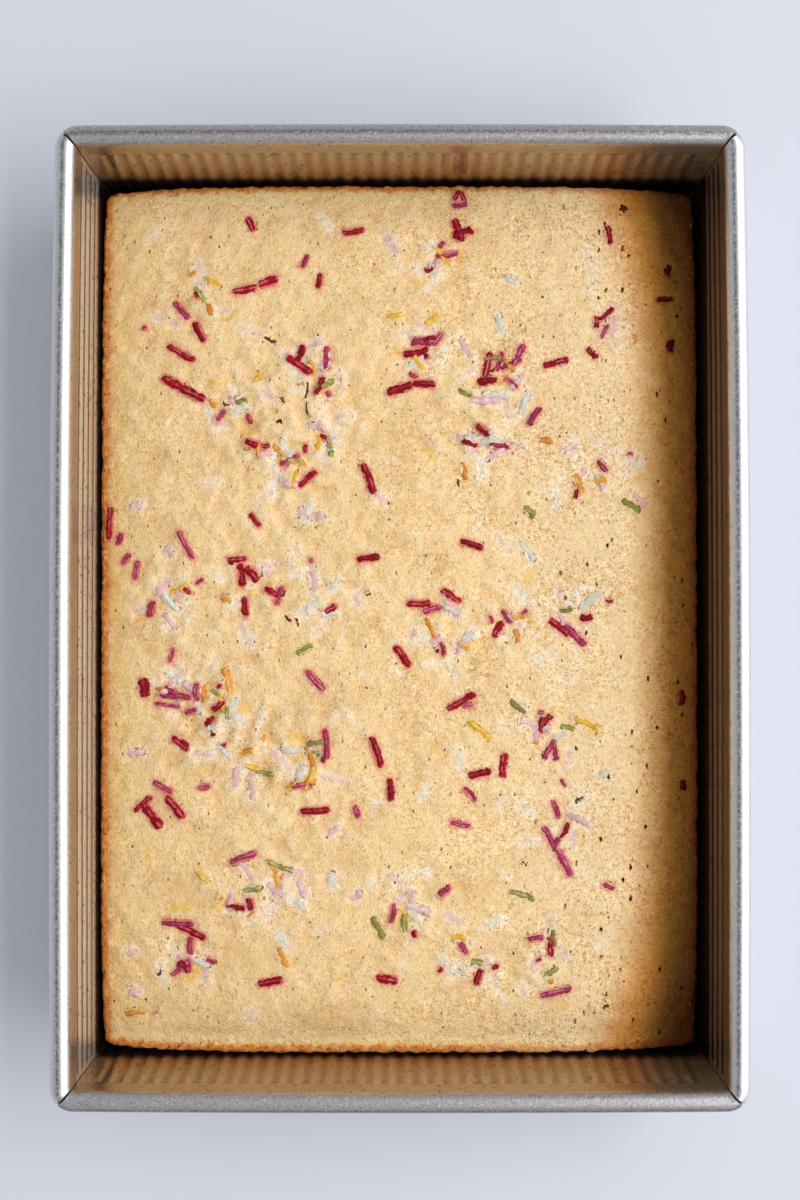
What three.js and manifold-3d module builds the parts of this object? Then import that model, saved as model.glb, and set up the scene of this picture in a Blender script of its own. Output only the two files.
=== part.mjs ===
// A sheet cake in the tin that it was baked in.
// Lengths are millimetres, +X across, +Y along, +Z up.
// The origin is the middle of the tin's underside.

import * as THREE from 'three';
import { mergeVertices } from 'three/addons/utils/BufferGeometryUtils.js';
import Module from 'manifold-3d';

const wasm = await Module();
wasm.setup();

// the tin
const floorWide = 226;         // inside, across the floor
const floorLong = 328.6;         // inside, along the floor
const tinHigh = 57;
const sheetThick = 0.8;
const wallLean = 0.1;          // a wall's run outwards for each millimetre it rises, up to the flutes' top
const foldRun = 3;             // how far the fold between floor and wall reaches along each
const rollWide = 7.7;          // the rolled rim, from outside to outside
const rollTurn = 300;          // degrees that the sheet is rolled through
const rollSteps = 10;
const rimCorner = 8.5;         // the rim's corner radius, seen from above
const slitWide = 0.6;          // where the rolls of two sides meet
const slitStart = 1.2;         // from the wall's top, outwards, to where the slit begins

// the flutes pressed into the sheet
const flutePitch = 5.7;
const fluteDeep = 0.5;
const fluteMouth = 3;
const fluteBottom = 1;
const fluteTop = 45;           // the height at which they stop and the wall goes on upright
const fluteFade = 3;           // the length over which they run out there
const floorFlutes = 39;
const wallFlutes = 7;          // along a long wall
const firstWallFlute = 8.1;    // from the floor's edge to the middle of the lowest
const seamClear = 1.4;         // from the end of a wall's flute to the corner
const windowLap = 0.3;         // how far the fluted sheet laps over the plain one
const topLap = 0.08;           // the same at its top edge
const sheetProud = 0.02;       // how far it stands proud of the plain one
const toolMargin = 0.3;        // how far a flute's bar starts before the face that it cuts or joins

// the corner's spare sheet, folded flat against the end walls
const earRun = 42;
const earLow = 5;
const earHigh = 45;

// the cake
const cakeWide = 227;          // at the top edge
const cakeLong = 329.4;
const cakeEdge = 19.5;         // height of the top edge
const cakeCrown = 6;           // how far the middle rises above the edge
const cakeLift = 0.3;          // the gap between the tin's floor and the cake
const crownPower = 4;          // a higher power makes a flatter top with a steeper edge
const cakeCorner = 4;          // the corner radius, seen from above
const cornerDrop = 2.5;        // how far the corners lie below the edge
const lumpRise = 0.45;         // half the height of the long low swells in the middle
const sideStops = 18;          // points along each side, and along each corner
const cornerStops = 3;

// the sprinkles
const fusedSprinkles = 136;    // the largest ones, which stand clear of the crumb
const sprinkleSides = 5;
const sprinkleSunk = 0.35;     // depth of a sprinkle's middle line under the top
const sprinkleSeed = 20;
const scatteredSprinkles = 70;
const sprinkleMargin = 9;      // kept free along the cake's edge
const smallLong = [4.2, 8.8];  // lengths and widths of the sprinkles placed by draw
const smallWide = [1.6, 2.4];


// turning geometry into solids and solids into meshes

function solidOf(geometry) {
  geometry.deleteAttribute('normal');
  geometry.deleteAttribute('uv');
  const merged = mergeVertices(geometry);
  const corners = merged.index.array;
  const kept = [];
  for (let i = 0; i < corners.length; i += 3) {
    const [a, b, c] = corners.subarray(i, i + 3);
    if (a !== b && b !== c && c !== a) kept.push(a, b, c);   // leaves out the ones that fold flat
  }
  return new wasm.Manifold(new wasm.Mesh({
    numProp: 3,
    vertProperties: new Float32Array(merged.attributes.position.array),
    triVerts: new Uint32Array(kept),
  }));
}

function meshOf(name, solid, material) {
  const { vertProperties, triVerts } = solid.getMesh();
  const geometry = new THREE.BufferGeometry();
  geometry.setAttribute('position', new THREE.BufferAttribute(vertProperties, 3));
  geometry.setIndex(new THREE.BufferAttribute(triVerts, 1));
  geometry.computeVertexNormals();
  const mesh = new THREE.Mesh(geometry, material);
  mesh.name = name;
  return mesh;
}

// moves every vertex of a three.js shape to where place(vertex, index) says
function reshape(geometry, place) {
  const position = geometry.attributes.position;
  const vertex = new THREE.Vector3();
  for (let i = 0; i < position.count; i += 1) {
    vertex.fromBufferAttribute(position, i);
    const moved = place(vertex, i);
    position.setXYZ(i, moved.x, moved.y, moved.z);
  }
  return geometry;
}

// the same solid again, half a turn round the middle
const halfTurn = new THREE.Matrix4().makeRotationZ(Math.PI);

function bothEnds(makeGeometry) {
  return [makeGeometry(), makeGeometry().applyMatrix4(halfTurn)];
}


// the tin's section: x is the distance beyond the floor's edge, y is the height

const floorTop = fluteDeep + sheetThick + sheetProud;
const wallTilt = Math.atan(wallLean);
const upWall = new THREE.Vector2(Math.sin(wallTilt), Math.cos(wallTilt));
const outOfWall = new THREE.Vector2(Math.cos(wallTilt), -Math.sin(wallTilt));
const floorEdge = new THREE.Vector2(0, floorTop);
const wallBend = onWall((fluteTop - floorTop) / upWall.y);
const wallTop = new THREE.Vector2(wallBend.x, tinHigh - rollWide / 2);
const rollMiddle = new THREE.Vector2(wallTop.x + rollWide / 2, wallTop.y);

// a point on a wall's inner face, by its distance from the floor's edge
function onWall(distance) {
  return floorEdge.clone().addScaledVector(upWall, distance);
}

// the roll: from the wall over the top, outwards and back in underneath
function rollArc(radius) {
  const arc = [];
  for (let step = 1; step <= rollSteps; step += 1) {
    const turned = THREE.MathUtils.degToRad((rollTurn * step) / rollSteps);
    arc.push(rollMiddle.clone()
      .add(new THREE.Vector2(-Math.cos(turned), Math.sin(turned)).multiplyScalar(radius)));
  }
  return arc;
}

// a line beside an open line of points, on the side away from the cake
function lineBeside(line, distance) {
  return line.map((point, i) => {
    const before = line[Math.max(i - 1, 0)];
    const after = line[Math.min(i + 1, line.length - 1)];
    const comes = (i > 0 ? point : after).clone().sub(i > 0 ? before : point).normalize();
    const goes = (i < line.length - 1 ? after : point).clone()
      .sub(i < line.length - 1 ? point : before).normalize();
    const side = new THREE.Vector2(comes.y + goes.y, -comes.x - goes.x);
    return point.clone().addScaledVector(side, distance / (1 + comes.dot(goes)));
  });
}

const foldLine = [new THREE.Vector2(-foldRun, floorTop), onWall(foldRun)];

// carries a closed section round the tin's rectangle, with corners that are
// sharp on the walls and rounded along the rim
function roundTheTin(section) {
  const cornerSteps = 3;
  const sectionPoints = section.map((p) => new THREE.Vector2(Math.max(floorWide / 2 + p.x, 0), p.y));
  const ring = new THREE.LatheGeometry(sectionPoints, 4 * cornerSteps);
  return reshape(ring, (vertex, i) => {
    const { x: across, y: high } = sectionPoints[i % sectionPoints.length];
    if (across === 0) return new THREE.Vector3(0, 0, high);
    const stop = Math.floor(i / sectionPoints.length) % (4 * cornerSteps);
    const corner = Math.floor(stop / cornerSteps);
    const angle = (corner + (stop % cornerSteps) / (cornerSteps - 1)) * (Math.PI / 2);
    const beyond = across - floorWide / 2;
    const radius = rimCorner * THREE.MathUtils.clamp((beyond - wallTop.x) / rollWide, 0, 1);
    const middle = new THREE.Vector3(
      (floorWide / 2 + beyond - radius) * (corner === 0 || corner === 3 ? 1 : -1),
      (floorLong / 2 + beyond - radius) * (corner < 2 ? 1 : -1),
      high,
    );
    return middle.add(new THREE.Vector3(Math.cos(angle), Math.sin(angle), 0).multiplyScalar(radius));
  });
}

function plainTin() {
  const inside = [new THREE.Vector2(-floorWide / 2, floorTop), ...foldLine, wallBend, wallTop];
  const outside = lineBeside(inside, sheetThick);
  const section = [...outside, ...rollArc(rollWide / 2 - sheetThick),
    ...rollArc(rollWide / 2).reverse(), ...inside.reverse()];
  return roundTheTin(section);
}


// the fluted sheet: up one end wall, along the floor and up the other end wall

// from the middle to the last flute's edge
const fluteReach = ((floorFlutes - 1) * flutePitch + fluteMouth) / 2;

// the columns of its section, from side to side: place across, and depth pressed out
function fluteColumns() {
  const columns = [{ x: -fluteReach - 2 * windowLap, deep: 0 }, { x: -fluteReach, deep: 0 }];
  for (let i = 0; i < floorFlutes; i += 1) {
    const middle = (i - (floorFlutes - 1) / 2) * flutePitch;
    columns.push({ x: middle - fluteBottom / 2, deep: fluteDeep });
    columns.push({ x: middle + fluteBottom / 2, deep: fluteDeep });
    if (i < floorFlutes - 1) columns.push({ x: middle + flutePitch / 2, deep: 0 });
  }
  return [...columns, { x: fluteReach, deep: 0 }, { x: fluteReach + 2 * windowLap, deep: 0 }];
}

function flutedSheet() {
  const columns = fluteColumns();
  const fadeStart = wallBend.clone().addScaledVector(upWall, -fluteFade);
  const nearEnd = [wallBend, fadeStart, foldLine[1], foldLine[0]]
    .map((p) => new THREE.Vector2(-floorLong / 2 - p.x, p.y));
  const farEnd = nearEnd.map((p) => new THREE.Vector2(-p.x, p.y)).reverse();
  const path = [...nearEnd, ...farEnd];
  const rows = path.length - 1;
  const across = columns.length - 1;
  const lines = {};
  for (const deep of [0, fluteDeep]) {
    lines[deep] = {
      over: lineBeside(path, deep - sheetProud),
      under: lineBeside(path, deep + sheetThick + sheetProud),
    };
  }
  const sheet = new THREE.BoxGeometry(across, rows, 1, across, rows, 1);
  return reshape(sheet, (vertex) => {
    const { x, deep } = columns[Math.round(vertex.x + across / 2)];
    const row = Math.round(vertex.y + rows / 2);
    const { over, under } = lines[row === 0 || row === rows ? 0 : deep];
    const place = (vertex.z > 0 ? over : under)[row];
    return new THREE.Vector3(x, place.x, place.y);
  });
}

// what the plain tin leaves open for the fluted sheet
function sheetWindow() {
  return new THREE.BoxGeometry(2 * (fluteReach + windowLap), 2 * floorLong, 2 * (fluteTop - topLap));
}


// the flutes along the long walls: bars with a tapered section, cut into the
// inner face or added under the outer one

function depthSpan(surface) {
  return { from: surface - toolMargin, surface, to: surface + fluteDeep };
}

const grooveSpan = depthSpan(0);
const ridgeSpan = depthSpan(sheetThick);

function fluteBar(distance, span) {
  const middle = onWall(distance);
  const corner = (along, depth) => {
    const share = (depth - span.surface) / fluteDeep;
    const halfWide = THREE.MathUtils.lerp(fluteMouth, fluteBottom, share) / 2;
    return middle.clone().addScaledVector(upWall, along * halfWide).addScaledVector(outOfWall, depth);
  };
  const section = new THREE.Shape([
    corner(-1, span.from), corner(-1, span.to), corner(1, span.to), corner(1, span.from),
  ].map((p) => new THREE.Vector2(floorWide / 2 + p.x, p.y)));
  const length = floorLong + 2 * (middle.x - seamClear);
  const bar = new THREE.ExtrudeGeometry(section, { depth: length, bevelEnabled: false });
  return bar.translate(0, 0, -length / 2).rotateX(Math.PI / 2);
}

function wallFluteBars(span) {
  const bars = [];
  for (let i = 0; i < wallFlutes; i += 1) {
    bars.push(...bothEnds(() => fluteBar(firstWallFlute + i * flutePitch, span)));
  }
  return bars;
}


// the folded ear of spare sheet at one side of an end wall
function cornerEar(side) {
  const low = (earLow - floorTop) / upWall.y;
  const high = (earHigh - floorTop) / upWall.y;
  const edgeAt = (distance) => floorWide / 2 + onWall(distance).x + sheetThick / 2;
  const outline = new THREE.Shape([
    new THREE.Vector2(side * edgeAt(low), low),
    new THREE.Vector2(side * edgeAt(high), high),
    new THREE.Vector2(side * (edgeAt(high) - earRun), high),
  ]);
  const sunk = sheetThick / 2;
  const ear = new THREE.ExtrudeGeometry(outline, { depth: sunk + 2 * sheetThick, bevelEnabled: false });
  const ontoWall = new THREE.Matrix4().makeBasis(
    new THREE.Vector3(-1, 0, 0),
    new THREE.Vector3(0, upWall.x, upWall.y),
    new THREE.Vector3(0, outOfWall.x, outOfWall.y),
  ).setPosition(0, floorLong / 2, floorTop);
  return ear.translate(0, 0, sheetThick - sunk).applyMatrix4(ontoWall);
}

// the slit between the rolls of two sides
function rimSlit(sideX, sideY) {
  const from = wallTop.x + slitStart;
  const to = wallTop.x + rollWide + slitStart;
  const slit = new THREE.BoxGeometry((to - from) * Math.SQRT2, slitWide, 2 * rollWide);
  slit.rotateZ(sideX * sideY * Math.PI / 4);
  return slit.translate(
    sideX * (floorWide / 2 + (from + to) / 2),
    sideY * (floorLong / 2 + (from + to) / 2),
    tinHigh - rollWide / 2,
  );
}

function tinSolid() {
  let tin = solidOf(plainTin()).subtract(solidOf(sheetWindow())).add(solidOf(flutedSheet()));
  for (const ridge of wallFluteBars(ridgeSpan)) tin = tin.add(solidOf(ridge));
  for (const groove of wallFluteBars(grooveSpan)) tin = tin.subtract(solidOf(groove));
  for (const side of [-1, 1]) {
    for (const ear of bothEnds(() => cornerEar(side))) tin = tin.add(solidOf(ear));
    for (const end of [-1, 1]) tin = tin.subtract(solidOf(rimSlit(side, end)));
  }
  return tin;
}


// the cake

// long low swells of the crumb, strongest in the middle
function swell(x, y) {
  return Math.sin(x / 13 + 1.3) * Math.sin(y / 17 + 0.4) + 0.6 * Math.sin(x / 9 - y / 12);
}

function cakeTopAt(x, y) {
  const across = Math.min(Math.abs((2 * x) / cakeWide), 1);
  const along = Math.min(Math.abs((2 * y) / cakeLong), 1);
  const crown = (1 - across ** crownPower) * (1 - along ** crownPower);
  const drop = cornerDrop * (across * along) ** 6;
  return cakeEdge + cakeCrown * crown + lumpRise * crown * swell(x, y) - drop;
}

// rings from the middle of the underside, out, up the side and in over the top:
// share of the full outline, inset from it, and rise from underside to top
const cakeRings = [
  [0, 0, 0], [1, 6, 0], [1, 2.6, 0.16], [1, 0.7, 0.6], [1, 0, 0.88], [1, 0.5, 0.96], [1, 1.8, 1],
  ...[0.94, 0.86, 0.76, 0.65, 0.53, 0.4, 0.26, 0.12, 0].map((share) => [share, 1.8, 1]),
];

// the outline seen from above: a rectangle with round corners, from the middle of
// one corner to the middle of the next, four times
function cakeOutline() {
  const [farX, farY] = [cakeWide / 2 - cakeCorner, cakeLong / 2 - cakeCorner];
  const middles = [[farX, farY], [-farX, farY], [-farX, -farY], [farX, -farY]];
  const stops = [];
  middles.forEach(([x, y], corner) => {
    for (let i = 0; i < cornerStops; i += 1) {
      const angle = (corner + i / (cornerStops - 1)) * (Math.PI / 2);
      stops.push(new THREE.Vector2(x + cakeCorner * Math.cos(angle), y + cakeCorner * Math.sin(angle)));
    }
    const from = stops[stops.length - 1];
    const [nextX, nextY] = middles[(corner + 1) % 4];
    const span = new THREE.Vector2(nextX - x, nextY - y);
    for (let i = 1; i < sideStops; i += 1) stops.push(from.clone().addScaledVector(span, i / sideStops));
  });
  return stops;
}

function cakeBody() {
  const underside = floorTop + cakeLift;
  const outline = cakeOutline();
  const profile = cakeRings.map(([share], i) => new THREE.Vector2(share, i));
  const body = new THREE.LatheGeometry(profile, outline.length);
  return reshape(body, (vertex, i) => {
    const [share, inset, rise] = cakeRings[i % cakeRings.length];
    const stop = outline[Math.floor(i / cakeRings.length) % outline.length];
    const x = stop.x * share * (1 - (2 * inset) / cakeWide);
    const y = stop.y * share * (1 - (2 * inset) / cakeLong);
    return new THREE.Vector3(x, y, THREE.MathUtils.lerp(underside, cakeTopAt(x, y), rise));
  });
}


// the sprinkles

// the largest, one by one: middle x and y, length, width, and turn in degrees from +X
const largeSprinkles = [
  [-59, 124, 8.7, 2.4, 10], [-50, 127, 7.6, 3.0, 20], [-76, 108, 8.4, 2.2, -64], [-83, 100, 12, 2.0, -30],
  [-85, 88, 12, 3.2, -30], [-78, 84, 9.0, 2.4, -24], [-54, 65, 9.1, 2.2, -15], [-38, 95, 11, 2.4, -35],
  [22, 147, 9.0, 2.8, -70], [24, 146, 8.0, 2.8, 15], [6, 100, 9.5, 2.4, 10], [0, 86, 10, 2.8, 18],
  [9, 88, 8.5, 2.4, -3], [33, 95, 10, 2.4, 78], [33, 89, 7.5, 2.6, 10], [-35, 52, 9.0, 2.2, 42],
  [-12, 52, 12, 2.4, -70], [59, 96, 10, 2.2, 15], [-56, 16, 7.0, 2.8, -45], [-97, -27, 7.0, 3.4, 95],
  [27, 27, 9.0, 2.2, -18], [-12, 22, 8.5, 2.2, 6], [1, -15, 9.5, 2.4, -55], [23, -32, 12, 2.2, 30],
  [-9, -51, 12, 2.4, -72], [39, -56, 9.0, 2.6, 85], [30, -59, 8.5, 2.4, 12], [60, -4, 9.0, 2.6, -38],
  [-94, -75, 12, 3.0, -52], [-85, -72, 10.5, 2.6, -50], [-32, -73, 11, 2.2, 3], [-79, -119, 12, 2.2, -25],
  [-49, -138, 9.0, 2.6, 10], [-5, -137, 8.0, 2.8, -10], [8, 104, 7.0, 3.2, 0], [45, 99, 9.0, 2.4, 65],
  [-81, 27, 12, 1.8, -62], [-85, -30, 12, 2.2, -5], [-32, -24, 9.5, 2.2, -48], [-28, -48, 11, 2.4, -85],
  [66, -7, 11, 2.8, -45], [-59, -91, 10.5, 2.4, 22], [-84, -116, 12, 2.2, -3], [62, -93, 11.5, 3.0, -65],
  [59, -142, 12, 2.8, 14], [-45, -94, 10, 2.2, -22], [-8, -117, 9.5, 2.4, -62], [46, -105, 10, 2.0, -18],
  [30, -43, 11, 2.2, -42], [70, -40, 10, 2.2, -22], [-65, -24, 10, 2.6, -80], [-87, 6, 11, 2.0, -50],
  [72, 6, 11, 2.4, 42], [38, 111, 9.0, 2.2, -75], [51, -41, 12, 2.4, -15], [7, -110, 10, 2.8, -20],
];

// the bunches: middle x and y, reach, and how many lie in it
const bunches = [
  [-76, 120, 8, 3], [-34, 93, 8, 7], [-45, 59, 10, 11], [-27, 68, 6, 4], [9, 101, 7, 4], [14, 135, 6, 4],
  [38, 92, 8, 6], [30, 68, 9, 8], [72, 55, 8, 5], [79, 112, 5, 4], [-82, -27, 8, 5], [-71, -35, 9, 10],
  [-35, -55, 9, 9], [-57, -59, 8, 4], [-54, 11, 10, 5], [-29, 7, 8, 4], [19, -2, 11, 7], [43, -2, 7, 5],
  [64, -1, 7, 3], [56, -44, 8, 5], [62, -79, 8, 6], [2, -111, 8, 5], [28, -135, 7, 4], [57, -126, 8, 4],
  [-49, -101, 8, 4], [-64, 81, 8, 5], [-88, 7, 8, 4], [-61, -109, 5, 3], [-80, -129, 6, 3],
];

// a repeatable draw between 0 and 1
function seededDraw(seed) {
  let state = seed;
  return () => {
    state = (Math.imul(state, 1664525) + 1013904223) >>> 0;
    return state / 2 ** 32;
  };
}

// all sprinkles, the longest first
function sprinkleList() {
  const draw = seededDraw(sprinkleSeed);
  const list = largeSprinkles.map(([x, y, long, wide, turn]) => ({ x, y, long, wide, turn }));
  const between = ([low, high]) => low + (high - low) * draw();
  const addSmall = (x, y) => {
    list.push({ x, y, long: between(smallLong), wide: between(smallWide), turn: between([0, 180]) });
  };
  for (const [x, y, reach, count] of bunches) {
    for (let i = 0; i < count; i += 1) {
      const angle = 2 * Math.PI * draw();
      const away = reach * Math.sqrt(draw());
      addSmall(x + away * Math.cos(angle), y + away * Math.sin(angle));
    }
  }
  const [farX, farY] = [cakeWide / 2 - sprinkleMargin, cakeLong / 2 - sprinkleMargin];
  for (let i = 0; i < scatteredSprinkles; i += 1) addSmall(between([-farX, farX]), between([-farY, farY]));
  return list.sort((a, b) => b.long - a.long);
}

// a rod that lies along the cake's top, sunk for the greater part
function sprinkleRod({ x, y, long, wide, turn }) {
  const angle = THREE.MathUtils.degToRad(turn);
  const reach = new THREE.Vector3(Math.cos(angle), Math.sin(angle), 0).multiplyScalar(long / 2);
  const endAt = (sign) => {
    const [endX, endY] = [x + sign * reach.x, y + sign * reach.y];
    return new THREE.Vector3(endX, endY, cakeTopAt(endX, endY) - sprinkleSunk);
  };
  const [from, to] = [endAt(-1), endAt(1)];
  const along = to.clone().sub(from);
  const rod = new THREE.CylinderGeometry(wide / 2, wide / 2, along.length(), sprinkleSides);
  const upright = new THREE.Vector3(0, 1, 0);
  rod.applyQuaternion(new THREE.Quaternion().setFromUnitVectors(upright, along.normalize()));
  const middle = from.add(to).multiplyScalar(0.5);
  return rod.translate(middle.x, middle.y, middle.z);
}

function cakeSolid() {
  let cake = solidOf(cakeBody());
  for (const sprinkle of sprinkleList().slice(0, fusedSprinkles)) {
    cake = cake.add(solidOf(sprinkleRod(sprinkle)));
  }
  return cake;
}


const satinSteel = new THREE.MeshStandardMaterial({ color: 0xb9b5b0, roughness: 0.38, metalness: 1 });
const goldenCrumb = new THREE.MeshStandardMaterial({ color: 0xe8c48d, roughness: 0.85, metalness: 0 });

const sheetCake = new THREE.Group();
sheetCake.add(meshOf('baking_tin', tinSolid(), satinSteel));
sheetCake.add(meshOf('cake', cakeSolid(), goldenCrumb));

export default sheetCake;
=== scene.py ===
# A sheet cake in the tin that it was baked in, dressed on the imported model.
# Shapes are worked out in millimetres and become metres where a mesh is made.

import math
import bpy
import numpy as np
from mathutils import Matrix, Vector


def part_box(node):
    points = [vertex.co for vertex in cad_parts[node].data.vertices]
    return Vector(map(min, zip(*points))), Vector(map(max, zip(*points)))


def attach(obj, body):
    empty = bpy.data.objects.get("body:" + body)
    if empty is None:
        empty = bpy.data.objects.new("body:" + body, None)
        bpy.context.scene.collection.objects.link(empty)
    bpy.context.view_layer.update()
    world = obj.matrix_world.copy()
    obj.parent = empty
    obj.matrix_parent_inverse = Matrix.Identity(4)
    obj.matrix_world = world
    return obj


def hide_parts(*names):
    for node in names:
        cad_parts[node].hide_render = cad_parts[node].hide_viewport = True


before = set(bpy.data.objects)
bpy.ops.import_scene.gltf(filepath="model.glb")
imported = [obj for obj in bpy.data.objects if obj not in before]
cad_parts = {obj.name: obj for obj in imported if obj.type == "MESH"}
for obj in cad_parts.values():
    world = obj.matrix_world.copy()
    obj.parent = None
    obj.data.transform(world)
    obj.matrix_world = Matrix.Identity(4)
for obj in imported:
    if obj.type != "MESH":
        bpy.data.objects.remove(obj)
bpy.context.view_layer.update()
mm = 0.001
print("frame loaded:", ", ".join(sorted(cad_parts)))

tinLow, tinHigh = (np.array(corner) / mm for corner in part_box("baking_tin"))
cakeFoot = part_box("cake")[0][2] / mm


# Mesh making

# quads between neighbouring rows of a grid of points; closed joins the last column to the first
def rowFaces(rows, columns, closed=False):
    down = np.arange(rows - 1)[:, None]
    along = np.arange(columns if closed else columns - 1)[None, :]
    after = (along + 1) % columns
    quads = np.stack([down * columns + along, down * columns + after,
                      (down + 1) * columns + after, (down + 1) * columns + along], axis=-1)
    return quads.reshape(-1, 4)


# the border of a grid of points as one loop of indices
def borderLoop(rows, columns):
    index = np.arange(rows * columns).reshape(rows, columns)
    return np.concatenate([index[0, :-1], index[:-1, -1], index[-1, :0:-1], index[:0:-1, 0]])


# one mesh object from points in millimetres and a list of faces, on the root body and in place of a CAD node
def makePiece(name, points, faces, material, node, sharpAngle=None):
    mesh = bpy.data.meshes.new(name)
    mesh.from_pydata((points * mm).tolist(), [], faces)
    mesh.validate()
    mesh.shade_smooth()
    if sharpAngle:
        mesh.set_sharp_from_angle(angle=math.radians(sharpAngle))
    mesh.materials.append(material)
    piece = bpy.data.objects.new(name, mesh)
    bpy.context.scene.collection.objects.link(piece)
    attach(piece, "root")
    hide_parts(node)
    return piece


# numbers for each point, for the material to read by name
def addValues(piece, **named):
    for name, values in named.items():
        attribute = piece.data.attributes.new(name, "FLOAT", "POINT")
        attribute.data.foreach_set("value", np.asarray(values, np.float32).ravel())


# a smooth random field: the sum of plane waves near one length, in all directions, with a spread of one
def waves(x, y, length, count, seed):
    draw = np.random.default_rng(seed)
    turn = draw.uniform(0, 2 * np.pi, count)
    pace = 2 * np.pi / (length * draw.uniform(0.65, 1.5, count))
    start = draw.uniform(0, 2 * np.pi, count)
    total = np.zeros_like(x)
    for k in range(count):
        total += np.sin(pace[k] * (np.cos(turn[k]) * x + np.sin(turn[k]) * y) + start[k])
    return total * math.sqrt(2 / count)


# nought up to low and one from high on; between them three times the squared share less twice its cube
def smoothStep(value, low, high):
    share = np.clip((value - low) / (high - low), 0, 1)
    return share * share * (3 - 2 * share)


# Node trees

# the steps that a node tree is made of; most of them add one node and give back its output
class Steps:
    def __init__(self, tree, point=None):
        self.tree = tree
        self.point = point

    # sets a node's inputs to values, or links them to other nodes' outputs
    def fill(self, node, inputs):
        for key, value in inputs.items():
            if isinstance(value, bpy.types.NodeSocket):
                self.tree.links.new(value, node.inputs[key])
            else:
                node.inputs[key].default_value = value
        return node

    def add(self, kind, inputs, **settings):
        node = self.tree.nodes.new("ShaderNode" + kind)
        for key, value in settings.items():
            setattr(node, key, value)
        return self.fill(node, inputs)

    def attribute(self, name):
        return self.add("Attribute", {}, attribute_name=name).outputs["Fac"]

    def axes(self):
        return self.add("SeparateXYZ", {"Vector": self.point}).outputs

    def math(self, operation, first, second=0.0, third=0.0):
        return self.add("Math", {0: first, 1: second, 2: third}, operation=operation).outputs[0]

    def times(self, first, second):
        return self.math("MULTIPLY", first, second)

    def timesPlus(self, first, second, third):
        return self.math("MULTIPLY_ADD", first, second, third)

    def mix(self, share, first, second, blend="MIX"):
        inputs = {0: share, 6: first, 7: second}
        return self.add("Mix", inputs, data_type="RGBA", blend_type=blend).outputs[2]

    # a colour multiplied by another in proportion to a share
    def tint(self, share, tone, factor):
        return self.mix(share, tone, self.mix(1.0, tone, factor, "MULTIPLY"))

    def remap(self, value, fromLow, fromHigh, toLow=0.0, toHigh=1.0):
        inputs = {"Value": value, "From Min": fromLow, "From Max": fromHigh,
                  "To Min": toLow, "To Max": toHigh}
        return self.add("MapRange", inputs, interpolation_type="SMOOTHSTEP").outputs["Result"]

    # the same between two places or heights in millimetres
    def between(self, value, levels, toLow=0.0, toHigh=1.0):
        return self.remap(value, levels[0] * mm, levels[1] * mm, toLow, toHigh)

    # cloudy noise whose blotches are about size millimetres across
    def noise(self, size, detail=3.0, roughness=0.6):
        inputs = {"Vector": self.point, "Scale": 1 / (size * mm), "Detail": detail, "Roughness": roughness}
        return self.add("TexNoise", inputs).outputs["Fac"]

    # spots of that noise, between the two of its values where they start and where they are full
    def spots(self, size, start, full, strength=1.0, detail=3.0, roughness=0.6, least=0.0):
        return self.remap(self.noise(size, detail, roughness), start, full, least, strength)

    # the grain group, with the sizes of its blotches and its depth in millimetres
    def grain(self, coarse, fine, fineShare, strength, depth):
        inputs = {"Vector": self.point, "Coarse Scale": 1 / (coarse * mm), "Fine Scale": 1 / (fine * mm),
                  "Fine Share": fineShare, "Strength": strength, "Distance": depth * mm}
        return self.add("Group", inputs, node_tree=surfaceGrain).outputs


# a material, the steps of its tree and its shader
def newMaterial(name):
    material = bpy.data.materials.new(name)
    material.use_nodes = True
    tree = material.node_tree
    tree.nodes.clear()
    output = tree.nodes.new("ShaderNodeOutputMaterial")
    shader = tree.nodes.new("ShaderNodeBsdfPrincipled")
    tree.links.new(shader.outputs["BSDF"], output.inputs["Surface"])
    return material, Steps(tree), shader


# the same with patterns that read Object coordinates
def newPattern(name):
    material, steps, shader = newMaterial(name)
    steps.point = steps.add("TexCoord", {}).outputs["Object"]
    return material, steps, shader


# a node group with inputs given as name, kind and often a starting value, and outputs as name and kind
def newGroup(name, inputs, outputs):
    group = bpy.data.node_groups.new(name, "ShaderNodeTree")
    for socketName, kind, *start in inputs:
        socket = group.interface.new_socket(name=socketName, in_out="INPUT", socket_type="NodeSocket" + kind)
        if start:
            socket.default_value = start[0]
    for socketName, kind in outputs:
        group.interface.new_socket(name=socketName, in_out="OUTPUT", socket_type="NodeSocket" + kind)
    given = group.nodes.new("NodeGroupInput").outputs
    return Steps(group, given["Vector"]), given, group.nodes.new("NodeGroupOutput")


# a colour as seen on a screen, 0 to 255, as the linear values that shaders take
def colour(red, green, blue):
    parts = [part / 255 for part in (red, green, blue)]
    return tuple(p / 12.92 if p <= 0.04045 else ((p + 0.055) / 1.055) ** 2.4 for p in parts) + (1.0,)


# The grain that crumb, sprinkles and metal share: two sizes of noise as a value and a bumped normal
def makeGrainGroup():
    inputs = (("Vector", "Vector"), ("Coarse Scale", "Float", 400.0), ("Fine Scale", "Float", 1500.0),
              ("Fine Share", "Float", 0.4), ("Strength", "Float", 0.5), ("Distance", "Float", 0.0003))
    steps, given, result = newGroup("surfaceGrain", inputs, (("Value", "Float"), ("Normal", "Vector")))
    coarse, fine = (steps.add("TexNoise", {"Vector": steps.point, "Scale": given[size]}).outputs["Fac"]
                    for size in ("Coarse Scale", "Fine Scale"))
    value = steps.add("Mix", {0: given["Fine Share"], 2: coarse, 3: fine}).outputs[0]
    bump = steps.add("Bump", {"Strength": given["Strength"], "Distance": given["Distance"], "Height": value})
    steps.fill(result, {"Value": value, "Normal": bump.outputs["Normal"]})
    return steps.tree


surfaceGrain = makeGrainGroup()


# The tin's metal

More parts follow.
